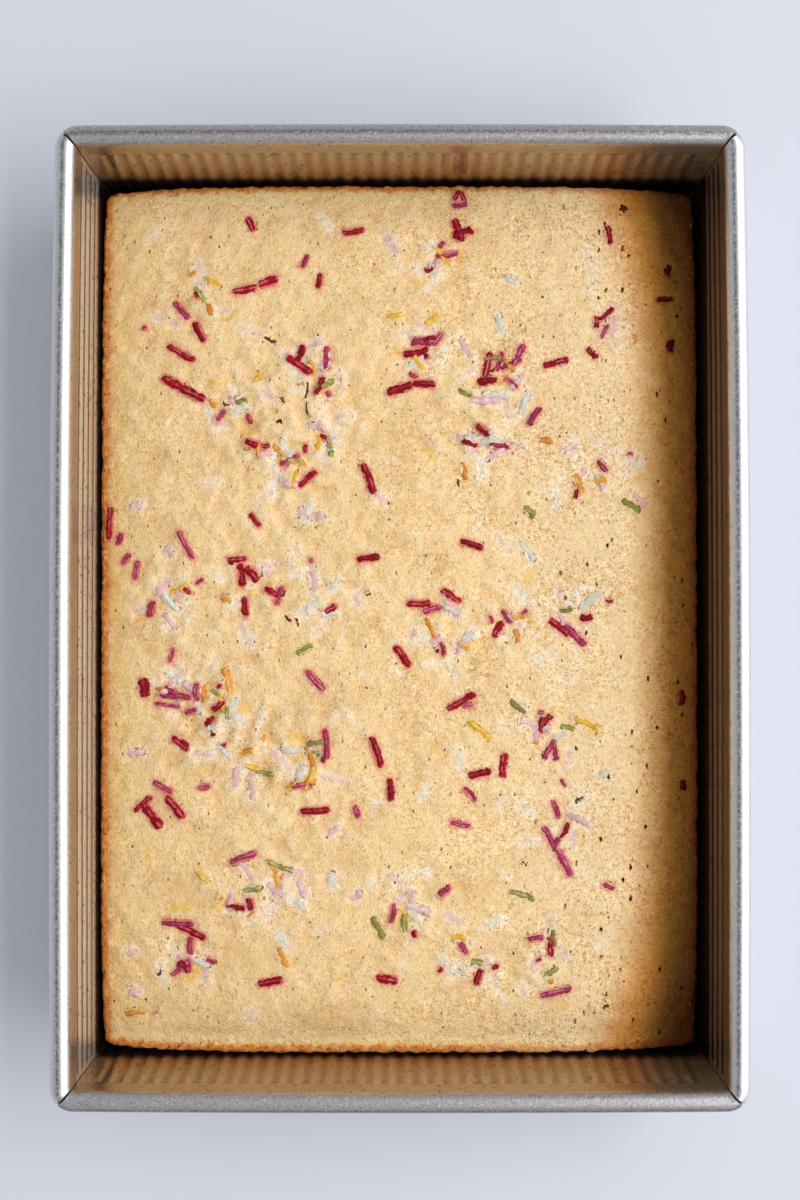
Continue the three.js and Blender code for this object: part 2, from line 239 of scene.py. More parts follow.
tinLook = {
    "metal": colour(222, 222, 224),
    "shadedEndMetal": colour(190, 186, 188),  # the rolls of the end walls, darker as a painted dark reflection
    "film": colour(190, 164, 140),       # the thin brown film baked onto the walls
    "litFilm": colour(226, 216, 206),   # the same paler on the lit left wall, as painted light
    "shadedFilm": colour(152, 132, 112),  # the same darker on the shaded right wall, as painted shade
    "shadedFilmShare": 0.8,
    "endFilm": colour(194, 167, 134),    # and on the end walls
    "lowDarkening": (0.78, 0.68, 0.53, 1),    # what darkens it there, low down
    "band": (0.84, 0.87, 0.9, 1),        # what darkens it above the flutes
    "greaseAndShade": colour(46, 26, 14),        # grease with painted shade, in the grooves and low down beside the cake
    "darkSpeck": colour(110, 104, 102),
    # white specks on the bare metal are painted glints
    "glintSpeck": colour(255, 255, 255),
    "reflectedDark": colour(84, 78, 82),        # a painted dark reflection along each roll
    "reflectedDarkShare": 0.9,
    "reflectedDarkWide": 11.0,                     # its reach round the roll on each side of its middle, in degrees
    "reflectedDarkNear": 132,                      # its middle on the near and the far roll
    "reflectedDarkFar": 92,
    "grooveShare": 0.26,                 # grease and painted shade in the end walls' grooves, and how much more painted shade at their tops
    "grooveTop": 0.6,
    "grooveDarkSoft": 0.5,                   # the width over which it sets in on the long walls, and its end
    "grooveDarkEnd": (1.0, 0.5),
    "metalRoughness": 0.42,
    "filmRoughness": 0.24,
    "roughnessSpread": 0.16,
    "filmMetallic": 0.65,
    # heights in millimetres, from where each starts to where it is full
    "filmLevels": (55.4, 53.6),
    "bandLevels": (44.5, 47.0),
    "lowLevels": (45.0, 31.0),
    "litLevels": (45.8, 44.8),
    "darkLevels": (25.5, 19.5),
    "shadedRise": 6.0,                    # how much higher the wall is dark on the right wall, as painted shade
    # how far blotches move those heights
    "blotches": (5, 4, 0.65),
    "darkWander": 5.0,
    "filmWander": 2.0,
    # spots: size in millimetres, where the noise starts and fills them, strength, detail and roughness
    "glintSpecks": (0.8, 0.55, 0.66, 1.0, 3, 0.7),
    "glintSpeckShare": 0.55,
    "darkSpecks": (0.9, 0.46, 0.36, 0.6, 3, 0.75),
    "reflectedDarkGaps": (1.1, 0.76, 0.38, 1.0, 3, 0.7),
    "ticks": (0.8, 0.44, 0.32, 0.6),
    "tickStretch": (0.5, 0.5, 0.33),
    "grain": (2.2, 0.9, 0.7, 0.5, 0.12),
    "filmHides": 0.8,                    # how much the film hides the specks, and how few bare walls have
    "fewerSpecks": 0.5,
    "seam": (colour(20, 14, 10), colour(62, 48, 38)),
    "seamBlotch": 2,
    "seamRoughness": 0.7,
}


def makeTinMaterial():
    look = tinLook
    material, steps, shader = newPattern("satinSteel")
    times, mix, between = steps.times, steps.mix, steps.between
    height = steps.axes()["Z"]
    inside, litWall, burnt, floorAndEnds = (steps.attribute(name) for name in ("inside", "litWall", "burnt", "floorAndEnds"))
    blotch = steps.noise(*look["blotches"])

    # the height moved up and down by the blotches, by so many millimetres in all
    def wandering(reach):
        return steps.math("ADD", height, steps.timesPlus(blotch, reach * mm, -reach / 2 * mm))

    filmShare = times(between(wandering(look["filmWander"]), look["filmLevels"]), inside)
    # low down beside the cake: grease with painted shade, reaching higher on the shaded right wall
    lowered = steps.timesPlus(burnt, -look["shadedRise"] * mm, wandering(look["darkWander"]))
    darkShare = times(between(lowered, look["darkLevels"]), inside)
    film = mix(floorAndEnds, look["film"], look["endFilm"])
    film = steps.tint(between(height, look["bandLevels"]), film, look["band"])
    # the end walls grow darker towards the bottom
    film = steps.tint(times(floorAndEnds, between(height, look["lowLevels"])), film, look["lowDarkening"])
    # painted light: a paler film on the lit left wall
    film = mix(times(litWall, between(height, look["litLevels"])), film, look["litFilm"])
    # painted shade: a darker film on the shaded right wall
    film = mix(times(burnt, look["shadedFilmShare"]), film, look["shadedFilm"])
    film = mix(darkShare, film, look["greaseAndShade"])
    # bare metal, darker on the floor and end walls' sheet as a painted dark reflection on their rolls
    tone = mix(filmShare, mix(floorAndEnds, look["metal"], look["shadedEndMetal"]), film)
    bare = times(steps.timesPlus(filmShare, -look["filmHides"], 1.0),
                 steps.timesPlus(floorAndEnds, look["fewerSpecks"], 1 - look["fewerSpecks"]))
    tone = mix(times(steps.spots(*look["darkSpecks"]), bare), tone, look["darkSpeck"])
    # painted glints on the bare metal
    glints = times(steps.spots(*look["glintSpecks"]), bare)
    tone = mix(times(glints, look["glintSpeckShare"]), tone, look["glintSpeck"])
    # a painted dark reflection: a line along each roll, broken by gaps
    tone = mix(times(steps.attribute("darkReflection"), steps.spots(*look["reflectedDarkGaps"])), tone, look["reflectedDark"])
    stretched = steps.add("Mapping", {"Vector": steps.point, "Scale": look["tickStretch"]}).outputs["Vector"]
    ticks = Steps(steps.tree, stretched).spots(*look["ticks"])
    tone = mix(times(ticks, filmShare), tone, look["greaseAndShade"])
    # grease with painted shade in the grooves
    tone = mix(steps.attribute("groove"), tone, look["greaseAndShade"])
    grain = steps.grain(*look["grain"])
    spread = look["roughnessSpread"]
    rough = steps.timesPlus(grain["Value"], spread, look["metalRoughness"] - spread / 2)
    rough = steps.timesPlus(filmShare, look["filmRoughness"] - look["metalRoughness"], rough)
    steps.fill(shader, {"Base Color": tone, "Roughness": rough, "Normal": grain["Normal"],
                        "Metallic": steps.timesPlus(filmShare, look["filmMetallic"] - 1, 1.0)})
    return material


def makeSeamMaterial():
    look = tinLook
    material, steps, shader = newPattern("burntSeam")
    steps.fill(shader, {"Base Color": steps.mix(steps.noise(look["seamBlotch"]), *look["seam"]),
                        "Roughness": look["seamRoughness"]})
    return material


# The tin

tin = {
    "floorWide": 226.0,
    "floorLong": 328.6,
    "sheet": 0.8,
    "lift": 0.02,            # how far the sheet is kept above the solid's lowest level
    "lean": 0.1,             # a wall's run outwards for each millimetre it rises, up to the flutes' top
    "foldRun": 3.0,          # how far the fold between floor and wall reaches along each
    "rollWide": 7.7,
    "rollDrawn": 0.998,      # the roll's radius as a share of the solid's
    "rollTurn": 300.0,
    "rimCorner": 8.5,        # the rim's corner radius, seen from above
    "pitch": 5.7,
    "deep": 0.5,             # depth of the flutes
    "fluteWide": 4.8,
    "flutes": 39,
    "fluteTop": 45.0,
    "fade": 1.4,             # the length over which they end there
    "firstWallFlute": 8.1,
    "wallFlutes": 7,
    "seam": 0.26,            # half the gap where two sheets meet at a corner
    "rimGap": 0.4,           # half the gap between two rolls
    "bowFar": 1.7,           # how far the long sides' rim draws in towards the far end, and the near one
    "bowNear": 0.8,
    "bowEnds": 0.6,          # the same for the short sides
    "earRun": 42.0,
    "earLow": 5.0,
    "earHigh": 45.0,
    "earFoot": 0.6,          # an ear's width at its lower end
    "earAside": 0.4,
    "earFold": 0.9,          # how far its rounded fold reaches in from its slanting edge
    "earLeast": 0.05,        # its thickness there
    "earSunk": 0.2,          # how far its hidden face and its outer edge lie inside the wall's sheet
    "earEdgeSunk": 0.02,
    "seamOut": 0.32,         # how far the grease in a seam lies outside the sheet's face, and its radius
    "seamRadius": 0.36,
    "seamTop": 100,          # where it ends on the roll, in degrees
    "seamSides": 6,
    "sharp": 40,             # the angle above which an edge of the sheet is shaded sharp
    # points along the fold, the slanting wall, the flutes' ends, the band and the roll
    "endStops": (8, 5, 6, 5, 26),
    "sideStops": (8, 2, 2, 5, 26),
    "seamStops": (6, 6, 3, 4, 10),
    # lines across a flute of the end walls, in half widths, and a groove of the long walls, in millimetres
    "fluteLines": (-1.0, -0.74, -0.48, -0.2, 0.2, 0.48, 0.74, 1.0),
    "grooveLines": (-1.5, -1.3, -1.0, -0.7, -0.3, 0.3, 0.75, 0.95, 1.1, 1.3, 1.5),
    "grooveRise": (-1.5, 0.95),          # where such a groove deepens, and where it ends
    "grooveEnd": (1.5, 1.1),
    "grooveFade": (1.0, 2.6),            # the distances from a corner over which it sets in
    # lines between the last flute and a corner, as shares of the way
    "cornerLines": (0.12, 0.3, 0.5, 0.66, 0.79, 0.89, 0.96, 1.0),
    "nearCorner": 0.06,                  # the share of a long wall's half with closer lines, their number
    "nearCornerLines": 16,
    "sideLines": 50,                     # and that of the lines between them
    "earLines": (24, 20),                # lines up an ear and across it
}

# the long walls: side, the film they carry (painted light on the left, painted shade on the right), where in
# a groove the grease and painted shade start, their strength, and the middle of the painted dark reflection
# in degrees round the roll
tinSides = {
    "tinSideLeft": (-1, "litWall", -1.0, 0.8, 97),
    "tinSideRight": (1, "burnt", -1.3, 1.0, 72),
}

tilt = math.atan(tin["lean"])
upWall = np.array([math.sin(tilt), math.cos(tilt)])
outOfWall = np.array([math.cos(tilt), -math.sin(tilt)])
floorTop = tinLow[2] + tin["deep"] + tin["sheet"] + tin["lift"]
floorEdge = np.array([0.0, floorTop])
rollRadius = tin["rollWide"] / 2
slantLength = (tin["fluteTop"] - floorTop) / upWall[1]
wallBend = floorEdge + slantLength * upWall
wallTop = np.array([wallBend[0], tinHigh[2] - rollRadius])
rollMiddle = wallTop + np.array([rollRadius, 0])


# the sheet's line from the floor's edge up a wall and round the roll, as distance beyond the floor's edge
# and height: an arc that touches floor and wall, a slanting wall, an upright band and an arc about the
# roll's middle; and for each point how far up the slanting wall it lies and its degrees round the roll
def wallLine(foldStops, lowStops, fadeStops, bandStops, rollStops):
    foldRadius = tin["foldRun"] / math.tan((math.pi / 2 - tilt) / 2)
    foldMiddle = np.array([-tin["foldRun"], floorTop + foldRadius])
    turned = np.linspace(0, math.pi / 2 - tilt, foldStops)
    fold = foldMiddle + foldRadius * np.stack([np.sin(turned), -np.cos(turned)], axis=-1)
    low = np.linspace(tin["foldRun"], slantLength - tin["fade"], lowStops)[1:]
    fade = np.linspace(slantLength - tin["fade"], slantLength, fadeStops)[1:]
    slanting = np.concatenate([low, fade])
    straight = floorEdge + slanting[:, None] * upWall
    band = wallBend + np.linspace(0, 1, bandStops)[1:, None] * (wallTop - wallBend)
    rolled = np.linspace(0, tin["rollTurn"], rollStops)[1:]
    around = np.radians(rolled)[:, None]
    drawnRadius = rollRadius * tin["rollDrawn"]
    roll = rollMiddle + drawnRadius * np.concatenate([-np.cos(around), np.sin(around)], axis=1)
    line = np.concatenate([fold, straight, band, roll])
    above = np.full(bandStops + rollStops - 2, slantLength)
    upTo = np.concatenate([(fold - floorEdge) @ upWall, slanting, above])
    onRoll = np.concatenate([np.zeros(len(line) - len(rolled)), rolled])
    return line, upTo, onRoll


# for each point of a line, the direction square to it, on the side away from the cake
def sideDirections(line):
    step = np.gradient(line, axis=0)
    step /= np.linalg.norm(step, axis=1, keepdims=True)
    return np.stack([step[:, 1], -step[:, 0]], axis=-1)


# a flute's depth at a distance from its middle: one raised cosine, and flat beside it
def fluteDepth(away):
    share = np.clip(np.abs(away) / (tin["fluteWide"] / 2), 0, 1)
    return tin["deep"] * (0.5 + 0.5 * np.cos(np.pi * share))


# the same along the long walls, where each flute deepens slowly upwards and ends in a steep step
def stepDepth(up):
    return tin["deep"] * smoothStep(up, *tin["grooveRise"]) * smoothStep(up, *tin["grooveEnd"])


# how dark the painted reflection line on a roll is at each of its angles: a bell about one angle
def darkReflectionLine(onRoll, middle):
    return tinLook["reflectedDarkShare"] * np.exp(-((onRoll - middle) / tinLook["reflectedDarkWide"]) ** 2)


# lines of a grid at the given offsets from each of the given middles, and halfway between the middles
def stopsAround(middles, offsets):
    beside = (middles[:, None] + np.asarray(offsets)).ravel()
    return np.concatenate([beside, (middles[1:] + middles[:-1]) / 2])


# the rim's corner radius at a distance beyond the floor: nought on the wall and full on the roll's far side
def cornerRadius(beyond):
    return tin["rimCorner"] * np.clip((beyond - wallTop[0]) / tin["rollWide"], 0, 1)


# how far the roll is drawn in near a corner, by the height of a circle's arc
def cornerDraw(beyond, along, half):
    radius = cornerRadius(beyond)
    inArc = np.clip(radius - (half + beyond - np.abs(along)), 0, radius)
    return np.sqrt(np.maximum(radius ** 2 - inArc ** 2, 0)) - radius


# how far a side's sheet runs from its middle to the corner's mitre at that distance beyond the floor
def reachAlong(beyond, half):
    gap = tin["seam"] + (tin["rimGap"] - tin["seam"]) * np.clip((beyond - wallTop[0]) / 2, 0, 1)
    return half + beyond - (1 - math.sqrt(0.5)) * cornerRadius(beyond) - gap


# the rim springs outwards in the middle of each side: the width shrinks with the square of the distance
# from the middle, in proportion to height
def bowOut(x, y, z):
    lift = z / tinHigh[2]
    along = y / tinHigh[1]
    across = x / tinHigh[0]
    bow = np.where(along > 0, tin["bowFar"], tin["bowNear"])
    shrinkX = 1 - bow / tinHigh[0] * along ** 2 * lift
    shrinkY = 1 - tin["bowEnds"] / tinHigh[1] * across ** 2 * lift
    return np.stack([x * shrinkX, y * shrinkY, z], axis=-1)


# a closed sheet from two grids of points, the face beside the cake and the face away from it
def closeSheet(over, under, flip=False):
    rows, columns = over.shape[:2]
    quads = rowFaces(rows, columns)
    count = rows * columns
    edge = borderLoop(rows, columns)
    after = np.roll(edge, -1)
    rim = np.stack([edge, edge + count, after + count, after], axis=-1)
    faces = np.concatenate([quads, quads[:, ::-1] + count, rim])
    return np.concatenate([over.reshape(-1, 3), under.reshape(-1, 3)]), faces[:, ::-1] if flip else faces


# a sheet of the tin from the function that gives its face at a depth; one value holds for the whole of it,
# and the film, the grease with painted shade and the painted dark reflection for the face beside the cake
def makeSheet(name, face, material, whole, onRoll, groove, reflectionDark, flip=False):
    points, faces = closeSheet(face(0), face(tin["sheet"]), flip)
    piece = makePiece(name, points, faces.tolist(), material, "baking_tin", tin["sharp"])
    columns = len(points) // 2 // len(onRoll)
    addValues(piece, **{whole: np.ones(len(points))})
    beside = {"inside": np.repeat((onRoll < 90) * 1.0, columns), "groove": groove.ravel(),
              "darkReflection": np.repeat(reflectionDark, columns)}
    addValues(piece, **{key: np.concatenate([values, 0 * values]) for key, values in beside.items()})


# the floor and both end walls: one line up, across and down again, carried from side to side; flutes run
# along the line, where each point moves square to the sheet by the flute's depth at its place across
def makeTinEnds(material):
    side, upTo, onRoll = wallLine(*tin["endStops"])
    away = sideDirections(side)
    half = tin["floorWide"] / 2

    # a value along the line of the near end wall, then of the far one
    def bothEnds(values, nearSign=1):
        return np.concatenate([nearSign * values[::-1], values])[:, None]

    y = bothEnds(tin["floorLong"] / 2 + side[:, 0], -1)
    z = bothEnds(side[:, 1])
    awayY, awayZ = bothEnds(away[:, 0], -1), bothEnds(away[:, 1])
    beyond = bothEnds(side[:, 0])
    strength = bothEnds(smoothStep(upTo, slantLength, slantLength - tin["fade"]))
    middles = (np.arange(tin["flutes"]) - (tin["flutes"] - 1) / 2) * tin["pitch"]
    core = np.sort(stopsAround(middles, np.array(tin["fluteLines"]) * tin["fluteWide"] / 2))
    reach = reachAlong(beyond, half)
    reach = np.where(beyond <= -tin["foldRun"] + 1e-6, half - tin["foldRun"], reach)
    shares = np.array(tin["cornerLines"])
    right = core[-1] + shares * (reach - core[-1])
    x = np.concatenate([-right[:, ::-1], np.broadcast_to(core, (len(reach), len(core))), right], axis=1)
    flat = np.full(len(shares), tin["pitch"])
    flute = fluteDepth(np.concatenate([flat, np.abs(core[:, None] - middles).min(axis=1), flat]))
    drawn = cornerDraw(np.broadcast_to(beyond, x.shape), x, half)

    def face(depth):
        depth = flute * strength + depth
        return bowOut(x, y + awayY * depth + np.sign(y) * drawn, z + awayZ * depth)

    # grease and painted shade along each groove, and more painted shade where it ends at the top, as a bell
    # about the middle of the fade
    bell = np.exp(-((upTo - slantLength + 0.5 * tin["fade"]) / (0.5 * tin["fade"])) ** 2) * (onRoll == 0)
    upper = bothEnds(np.where(side[:, 1] > tin["fluteTop"] + 0.5, 0, bell))
    greaseAndShade = tinLook["grooveShare"] * (strength > 0) + tinLook["grooveTop"] * upper
    groove = np.clip(flute / tin["deep"] * greaseAndShade, 0, 1)
    reflectionDark = np.concatenate([darkReflectionLine(onRoll, tinLook["reflectedDarkNear"])[::-1], darkReflectionLine(onRoll, tinLook["reflectedDarkFar"])])
    makeSheet("tinFloorAndEnds", face, material, "floorAndEnds", bothEnds(onRoll).ravel(), groove, reflectionDark)


# a long wall: the same line carried along the tin, with flutes that run along it
def makeTinSide(name, material):
    sign, film, grooveDarkFrom, grooveDarkShare, reflectionMiddle = tinSides[name]
    middles = tin["firstWallFlute"] + np.arange(tin["wallFlutes"]) * tin["pitch"]
    foldStops = tin["sideStops"][0]
    line, upTo, onRoll = wallLine(*tin["sideStops"])
    stops = np.append(stopsAround(middles, tin["grooveLines"]), slantLength)
    stops = np.sort(stops[stops <= slantLength])
    above = np.flatnonzero(upTo >= slantLength - 0.01)[1:]
    line = np.concatenate([line[:foldStops], floorEdge + stops[:, None] * upWall, line[above]])
    upTo = np.concatenate([upTo[:foldStops], stops, upTo[above]])
    onRoll = np.concatenate([np.zeros(foldStops + len(stops)), onRoll[above]])
    away = sideDirections(line)
    fromFlute = upTo - middles[np.abs(upTo[:, None] - middles).argmin(axis=1)]
    fluted = line[:, 1] < tin["fluteTop"] - 0.01
    deep = np.where(fluted, stepDepth(fromFlute), 0)
    # where a long wall's groove darkens: grease with painted shade
    grooveDark = smoothStep(fromFlute, grooveDarkFrom, grooveDarkFrom + tinLook["grooveDarkSoft"])
    grooveDark *= smoothStep(fromFlute, *tinLook["grooveDarkEnd"])
    grooveDark = np.where(fluted, grooveDark, 0)
    half = tin["floorLong"] / 2
    reach = reachAlong(line[:, :1], half)
    nearCorner = tin["nearCorner"] * np.linspace(0, 1, tin["nearCornerLines"]) ** 1.5
    rest = np.linspace(tin["nearCorner"] - 1, 1 - tin["nearCorner"], tin["sideLines"])[1:-1]
    shares = np.concatenate([nearCorner - 1, rest, 1 - nearCorner[::-1]])
    y = reach * shares
    fadeOut = smoothStep(reach - np.abs(y), *tin["grooveFade"])
    drawn = cornerDraw(np.broadcast_to(line[:, :1], y.shape), y, half)

    def face(depth):
        depth = deep[:, None] * fadeOut + depth
        x = tin["floorWide"] / 2 + line[:, :1] + away[:, :1] * depth + drawn
        return bowOut(sign * x, y, line[:, 1:] + away[:, 1:] * depth + 0 * x)

    groove = grooveDark[:, None] * fadeOut * grooveDarkShare
    makeSheet(name, face, material, film, onRoll, groove, darkReflectionLine(onRoll, reflectionMiddle), flip=sign > 0)


# the spare sheet of each corner, folded flat on the end walls: a triangle that starts at the corner's foot
# and widens in proportion to height, two sheets thick, with a rounded fold along its slanting edge
def makeEars(material):
    up = np.linspace(0, 1, tin["earLines"][0])[:, None]
    across = np.linspace(0, 1, tin["earLines"][1])[None, :]
    low = (tin["earLow"] - floorTop) / upWall[1]
    high = (tin["earHigh"] - floorTop) / upWall[1]
    distance = low + (high - low) * up
    edge = tin["floorWide"] / 2 + upWall[0] * distance + tin["earAside"]
    width = tin["earFoot"] + (tin["earRun"] - tin["earFoot"]) * up
    x = edge - width * across
    fold = np.sqrt(1 - (1 - np.clip(width * (1 - across) / tin["earFold"], 0, 1)) ** 2)
    thick = 2 * tin["sheet"] * fold + tin["earLeast"]
    everyPoint, everyFace = [], []
    for signX, signY in ((-1, -1), (-1, 1), (1, -1), (1, 1)):
        grids = []
        for above in (np.full(x.shape, -tin["earSunk"]), thick - tin["earEdgeSunk"]):
            depth = above + tin["sheet"]
            y = tin["floorLong"] / 2 + distance * upWall[0] + depth * outOfWall[0]
            z = floorTop + distance * upWall[1] + depth * outOfWall[1]
            grids.append(bowOut(signX * x, signY * y, z))
        points, faces = closeSheet(*grids, flip=signX * signY > 0)
        everyFace += (faces + len(everyPoint) * len(points)).tolist()
        everyPoint.append(points)
    makePiece("tinCornerEars", np.concatenate(everyPoint), everyFace, material, "baking_tin", tin["sharp"])


# burnt grease in the seam of each corner: a thin rod carried up the corner's line, from the floor to the roll
def makeSeams(material):
    line, upTo, onRoll = wallLine(*tin["seamStops"])
    line = line[onRoll < tin["seamTop"]]
    away = sideDirections(line)
    sides = tin["seamSides"]
    around = np.linspace(0, 2 * np.pi, sides + 1)[:-1]
    outwards = tin["seamRadius"] * np.cos(around)
    aside = tin["seamRadius"] * np.sin(around) * math.sqrt(0.5)
    out, z = (line[:, k, None] + away[:, k, None] * tin["seamOut"] + outwards * away[:, k, None]
              for k in (0, 1))
    x = tin["floorWide"] / 2 + out - aside
    y = tin["floorLong"] / 2 + out + aside
    count = sides * len(line)
    closed = rowFaces(len(line), sides, closed=True).tolist()
    closed += [list(range(sides))[::-1], list(range(count - sides, count))]
    everyPoint, everyFace = [], []
    for number, (signX, signY) in enumerate(((-1, -1), (1, -1), (1, 1), (-1, 1))):
        everyPoint.append(bowOut(signX * x, signY * y, z).reshape(-1, 3))
        faces = [face[::-1] for face in closed] if signX * signY < 0 else closed
        everyFace += [[corner + number * count for corner in face] for face in faces]
    makePiece("cornerSeams", np.concatenate(everyPoint), everyFace, material, "baking_tin")


satinSteel = makeTinMaterial()
makeTinEnds(satinSteel)
for name in tinSides:
    makeTinSide(name, satinSteel)
makeEars(satinSteel)
makeSeams(makeSeamMaterial())
print("tin made")


# The sprinkles' places, by the same rule as in the solids

sprinkles = {
    "seed": 20,
    "kindSeed": 5,              # for what the solids don't draw: kinds and specks, and their shapes
    "shapeSeed": 40,
    "scattered": 70,
    "margin": 9,                # kept free along the cake's edge
    "smallLong": (4.2, 8.8),
    "smallWide": (1.6, 2.4),
    "specks": 60,
    "speckSpread": 1.1,         # how far they lie from a bunch's middle, in proportion to its reach
    "speckLong": (1.6, 3.6),
    "speckWide": (1.1, 1.8),
    "speckKinds": ["crimson", "crimson", "magenta", "magenta", "orange", "burnt"],
    "skew": 0.7,                # how far the ends are torn off at a slant
    "half": 0.72,               # half the height of a rod
    "endPower": 16,             # how late the width closes towards the ends, and how much of it is left there
    "endLeft": 0.15,
    "stops": (-1, -0.99, -0.95, -0.87, -0.74, -0.6, -0.45, -0.3, -0.15, 0, 0.16, 0.31, 0.46, 0.61, 0.75,
              0.88, 0.95, 0.99, 1),
    "sides": 12,
    "narrowed": 0.96,           # the girth as a share of the width, and how fast and far it wavers
    "waverSlow": (3.5, 1.0),
    "waverFast": (9.0, 0.8),
    "waverTall": (4.0, 0.5),
    "paceSpread": (0.6, 1.4),
    "tornMost": 0.3,
    "bend": 0.3,                # how far a rod is bent at most, and how much more an uneven one
    "bendUneven": 5,
    "riseSpread": (-0.15, 0.1),
}

# by kind: middle x and y, length, width and turn in degrees from +X
largeSprinkles = {
    "crimson": [
        (-59, 124, 8.7, 2.4, 10), (-50, 127, 7.6, 3.0, 20), (-76, 108, 8.4, 2.2, -64),
        (-83, 100, 12, 2.0, -30), (-85, 88, 12, 3.2, -30), (-78, 84, 9.0, 2.4, -24),
        (-54, 65, 9.1, 2.2, -15), (-38, 95, 11, 2.4, -35), (22, 147, 9.0, 2.8, -70),
        (24, 146, 8.0, 2.8, 15), (6, 100, 9.5, 2.4, 10), (0, 86, 10, 2.8, 18), (9, 88, 8.5, 2.4, -3),
        (33, 95, 10, 2.4, 78), (33, 89, 7.5, 2.6, 10), (-35, 52, 9.0, 2.2, 42), (-12, 52, 12, 2.4, -70),
        (59, 96, 10, 2.2, 15), (-56, 16, 7.0, 2.8, -45), (-97, -27, 7.0, 3.4, 95), (27, 27, 9.0, 2.2, -18),
        (-12, 22, 8.5, 2.2, 6), (1, -15, 9.5, 2.4, -55), (23, -32, 12, 2.2, 30), (-9, -51, 12, 2.4, -72),
        (39, -56, 9.0, 2.6, 85), (30, -59, 8.5, 2.4, 12), (60, -4, 9.0, 2.6, -38), (-94, -75, 12, 3.0, -52),
        (-85, -72, 10.5, 2.6, -50), (-32, -73, 11, 2.2, 3), (-79, -119, 12, 2.2, -25),
        (-49, -138, 9.0, 2.6, 10), (-5, -137, 8.0, 2.8, -10)],
    "magenta": [
        (8, 104, 7.0, 3.2, 0), (45, 99, 9.0, 2.4, 65), (-81, 27, 12, 1.8, -62), (-85, -30, 12, 2.2, -5),
        (-32, -24, 9.5, 2.2, -48), (-28, -48, 11, 2.4, -85), (66, -7, 11, 2.8, -45),
        (-59, -91, 10.5, 2.4, 22), (-84, -116, 12, 2.2, -3), (62, -93, 11.5, 3.0, -65),
        (59, -142, 12, 2.8, 14)],
    "green": [(-45, -94, 10, 2.2, -22), (-8, -117, 9.5, 2.4, -62), (46, -105, 10, 2.0, -18)],
    "yellow": [(30, -43, 11, 2.2, -42), (70, -40, 10, 2.2, -22)],
    "orange": [(-65, -24, 10, 2.6, -80)],
    "ice": [(-87, 6, 11, 2.0, -50), (72, 6, 11, 2.4, 42), (38, 111, 9.0, 2.2, -75)],
    "pink": [(51, -41, 12, 2.4, -15), (7, -110, 10, 2.8, -20)],
}

# what lies outside the bunches' rule, in the same way: specks and slivers by the edges, burnt ones on top
strays = {
    "crimson": [
        (-110.6, 35.4, 12.5, 2.3, 86), (102.6, 132.0, 4.4, 2.2, 80), (100.8, 120.8, 6.6, 1.8, 6),
        (103.0, 103.0, 4.6, 2.4, 84), (106.6, -31.0, 5.4, 2.6, 95), (107.4, -64.0, 3.8, 2.0, 100),
        (21.8, 161.0, 4.6, 1.6, 62), (24.2, 160.6, 4.0, 1.5, 110), (-81.5, -133.0, 4.5, 1.6, -50)],
    "magenta": [
        (-106.8, 29.5, 4.6, 2.2, 70), (23.0, 157.0, 5.6, 2.0, 8), (-79.2, -124.2, 6.7, 2.2, 92),
        (-84.5, -134.5, 5.0, 1.6, 35), (-86.5, -14.5, 5.5, 1.2, 78), (-88.0, -33.5, 9.5, 1.3, -8)],
    "burnt": [
        (-77.8, 84.7, 6.4, 1.1, -52), (-49.4, 104.7, 5.3, 1.5, -31), (72.9, 99.8, 3.0, 1.3, 40),
        (-64.2, 20.3, 3.2, 2.2, -20), (-91.1, -134.7, 2.6, 1.4, 60), (77.8, -147.5, 2.8, 1.9, 35),
        (85.4, 155.6, 3.6, 2.6, 20), (84.4, 140.3, 2.4, 1.6, 70), (-35.4, 85.5, 6.5, 0.9, 84),
        (-34.6, 78.6, 6.0, 0.9, 97), (-12.0, 8.5, 2.2, 1.6, 10), (47.0, -93.0, 2.4, 1.2, 140)],
    "pink": [(-101.8, -127.6, 3.4, 1.8, 10), (32.4, 81.4, 12.0, 2.4, 0), (36.6, 61.9, 12.0, 1.9, 35)],
    "ice": [(35.8, 83.9, 9.5, 2.0, 0), (47.2, 80.9, 11.0, 1.7, 70), (-52.0, -37.0, 5.0, 1.5, 80)],
}

# middle x and y, reach, and the first letters of the kinds that lie in the bunch
bunches = [
    (-76, 120, 8, "gmo"), (-34, 93, 8, "ccmpigy"), (-45, 59, 10, "yyyooiippgm"), (-27, 68, 6, "gipy"),
    (9, 101, 7, "cmiy"), (14, 135, 6, "ypmi"), (38, 92, 8, "mmpogm"), (30, 68, 9, "iiippcmc"),
    (72, 55, 8, "oppmy"), (79, 112, 5, "ccpm"), (-82, -27, 8, "mppii"), (-71, -35, 9, "ccommggiiy"),
    (-35, -55, 9, "oompiiggy"), (-57, -59, 8, "ygpo"), (-54, 11, 10, "cccpm"), (-29, 7, 8, "iicp"),
    (19, -2, 11, "cppomyi"), (43, -2, 7, "cympo"), (64, -1, 7, "cpg"), (56, -44, 8, "cmpic"),
    (62, -79, 8, "mmmppc"), (2, -111, 8, "ppimg"), (28, -135, 7, "icgp"), (57, -126, 8, "cmgg"),
    (-49, -101, 8, "pygo"), (-64, 81, 8, "mgopi"), (-88, 7, 8, "ppmy"), (-61, -109, 5, "cpc"),
    (-80, -129, 6, "mci"),
]

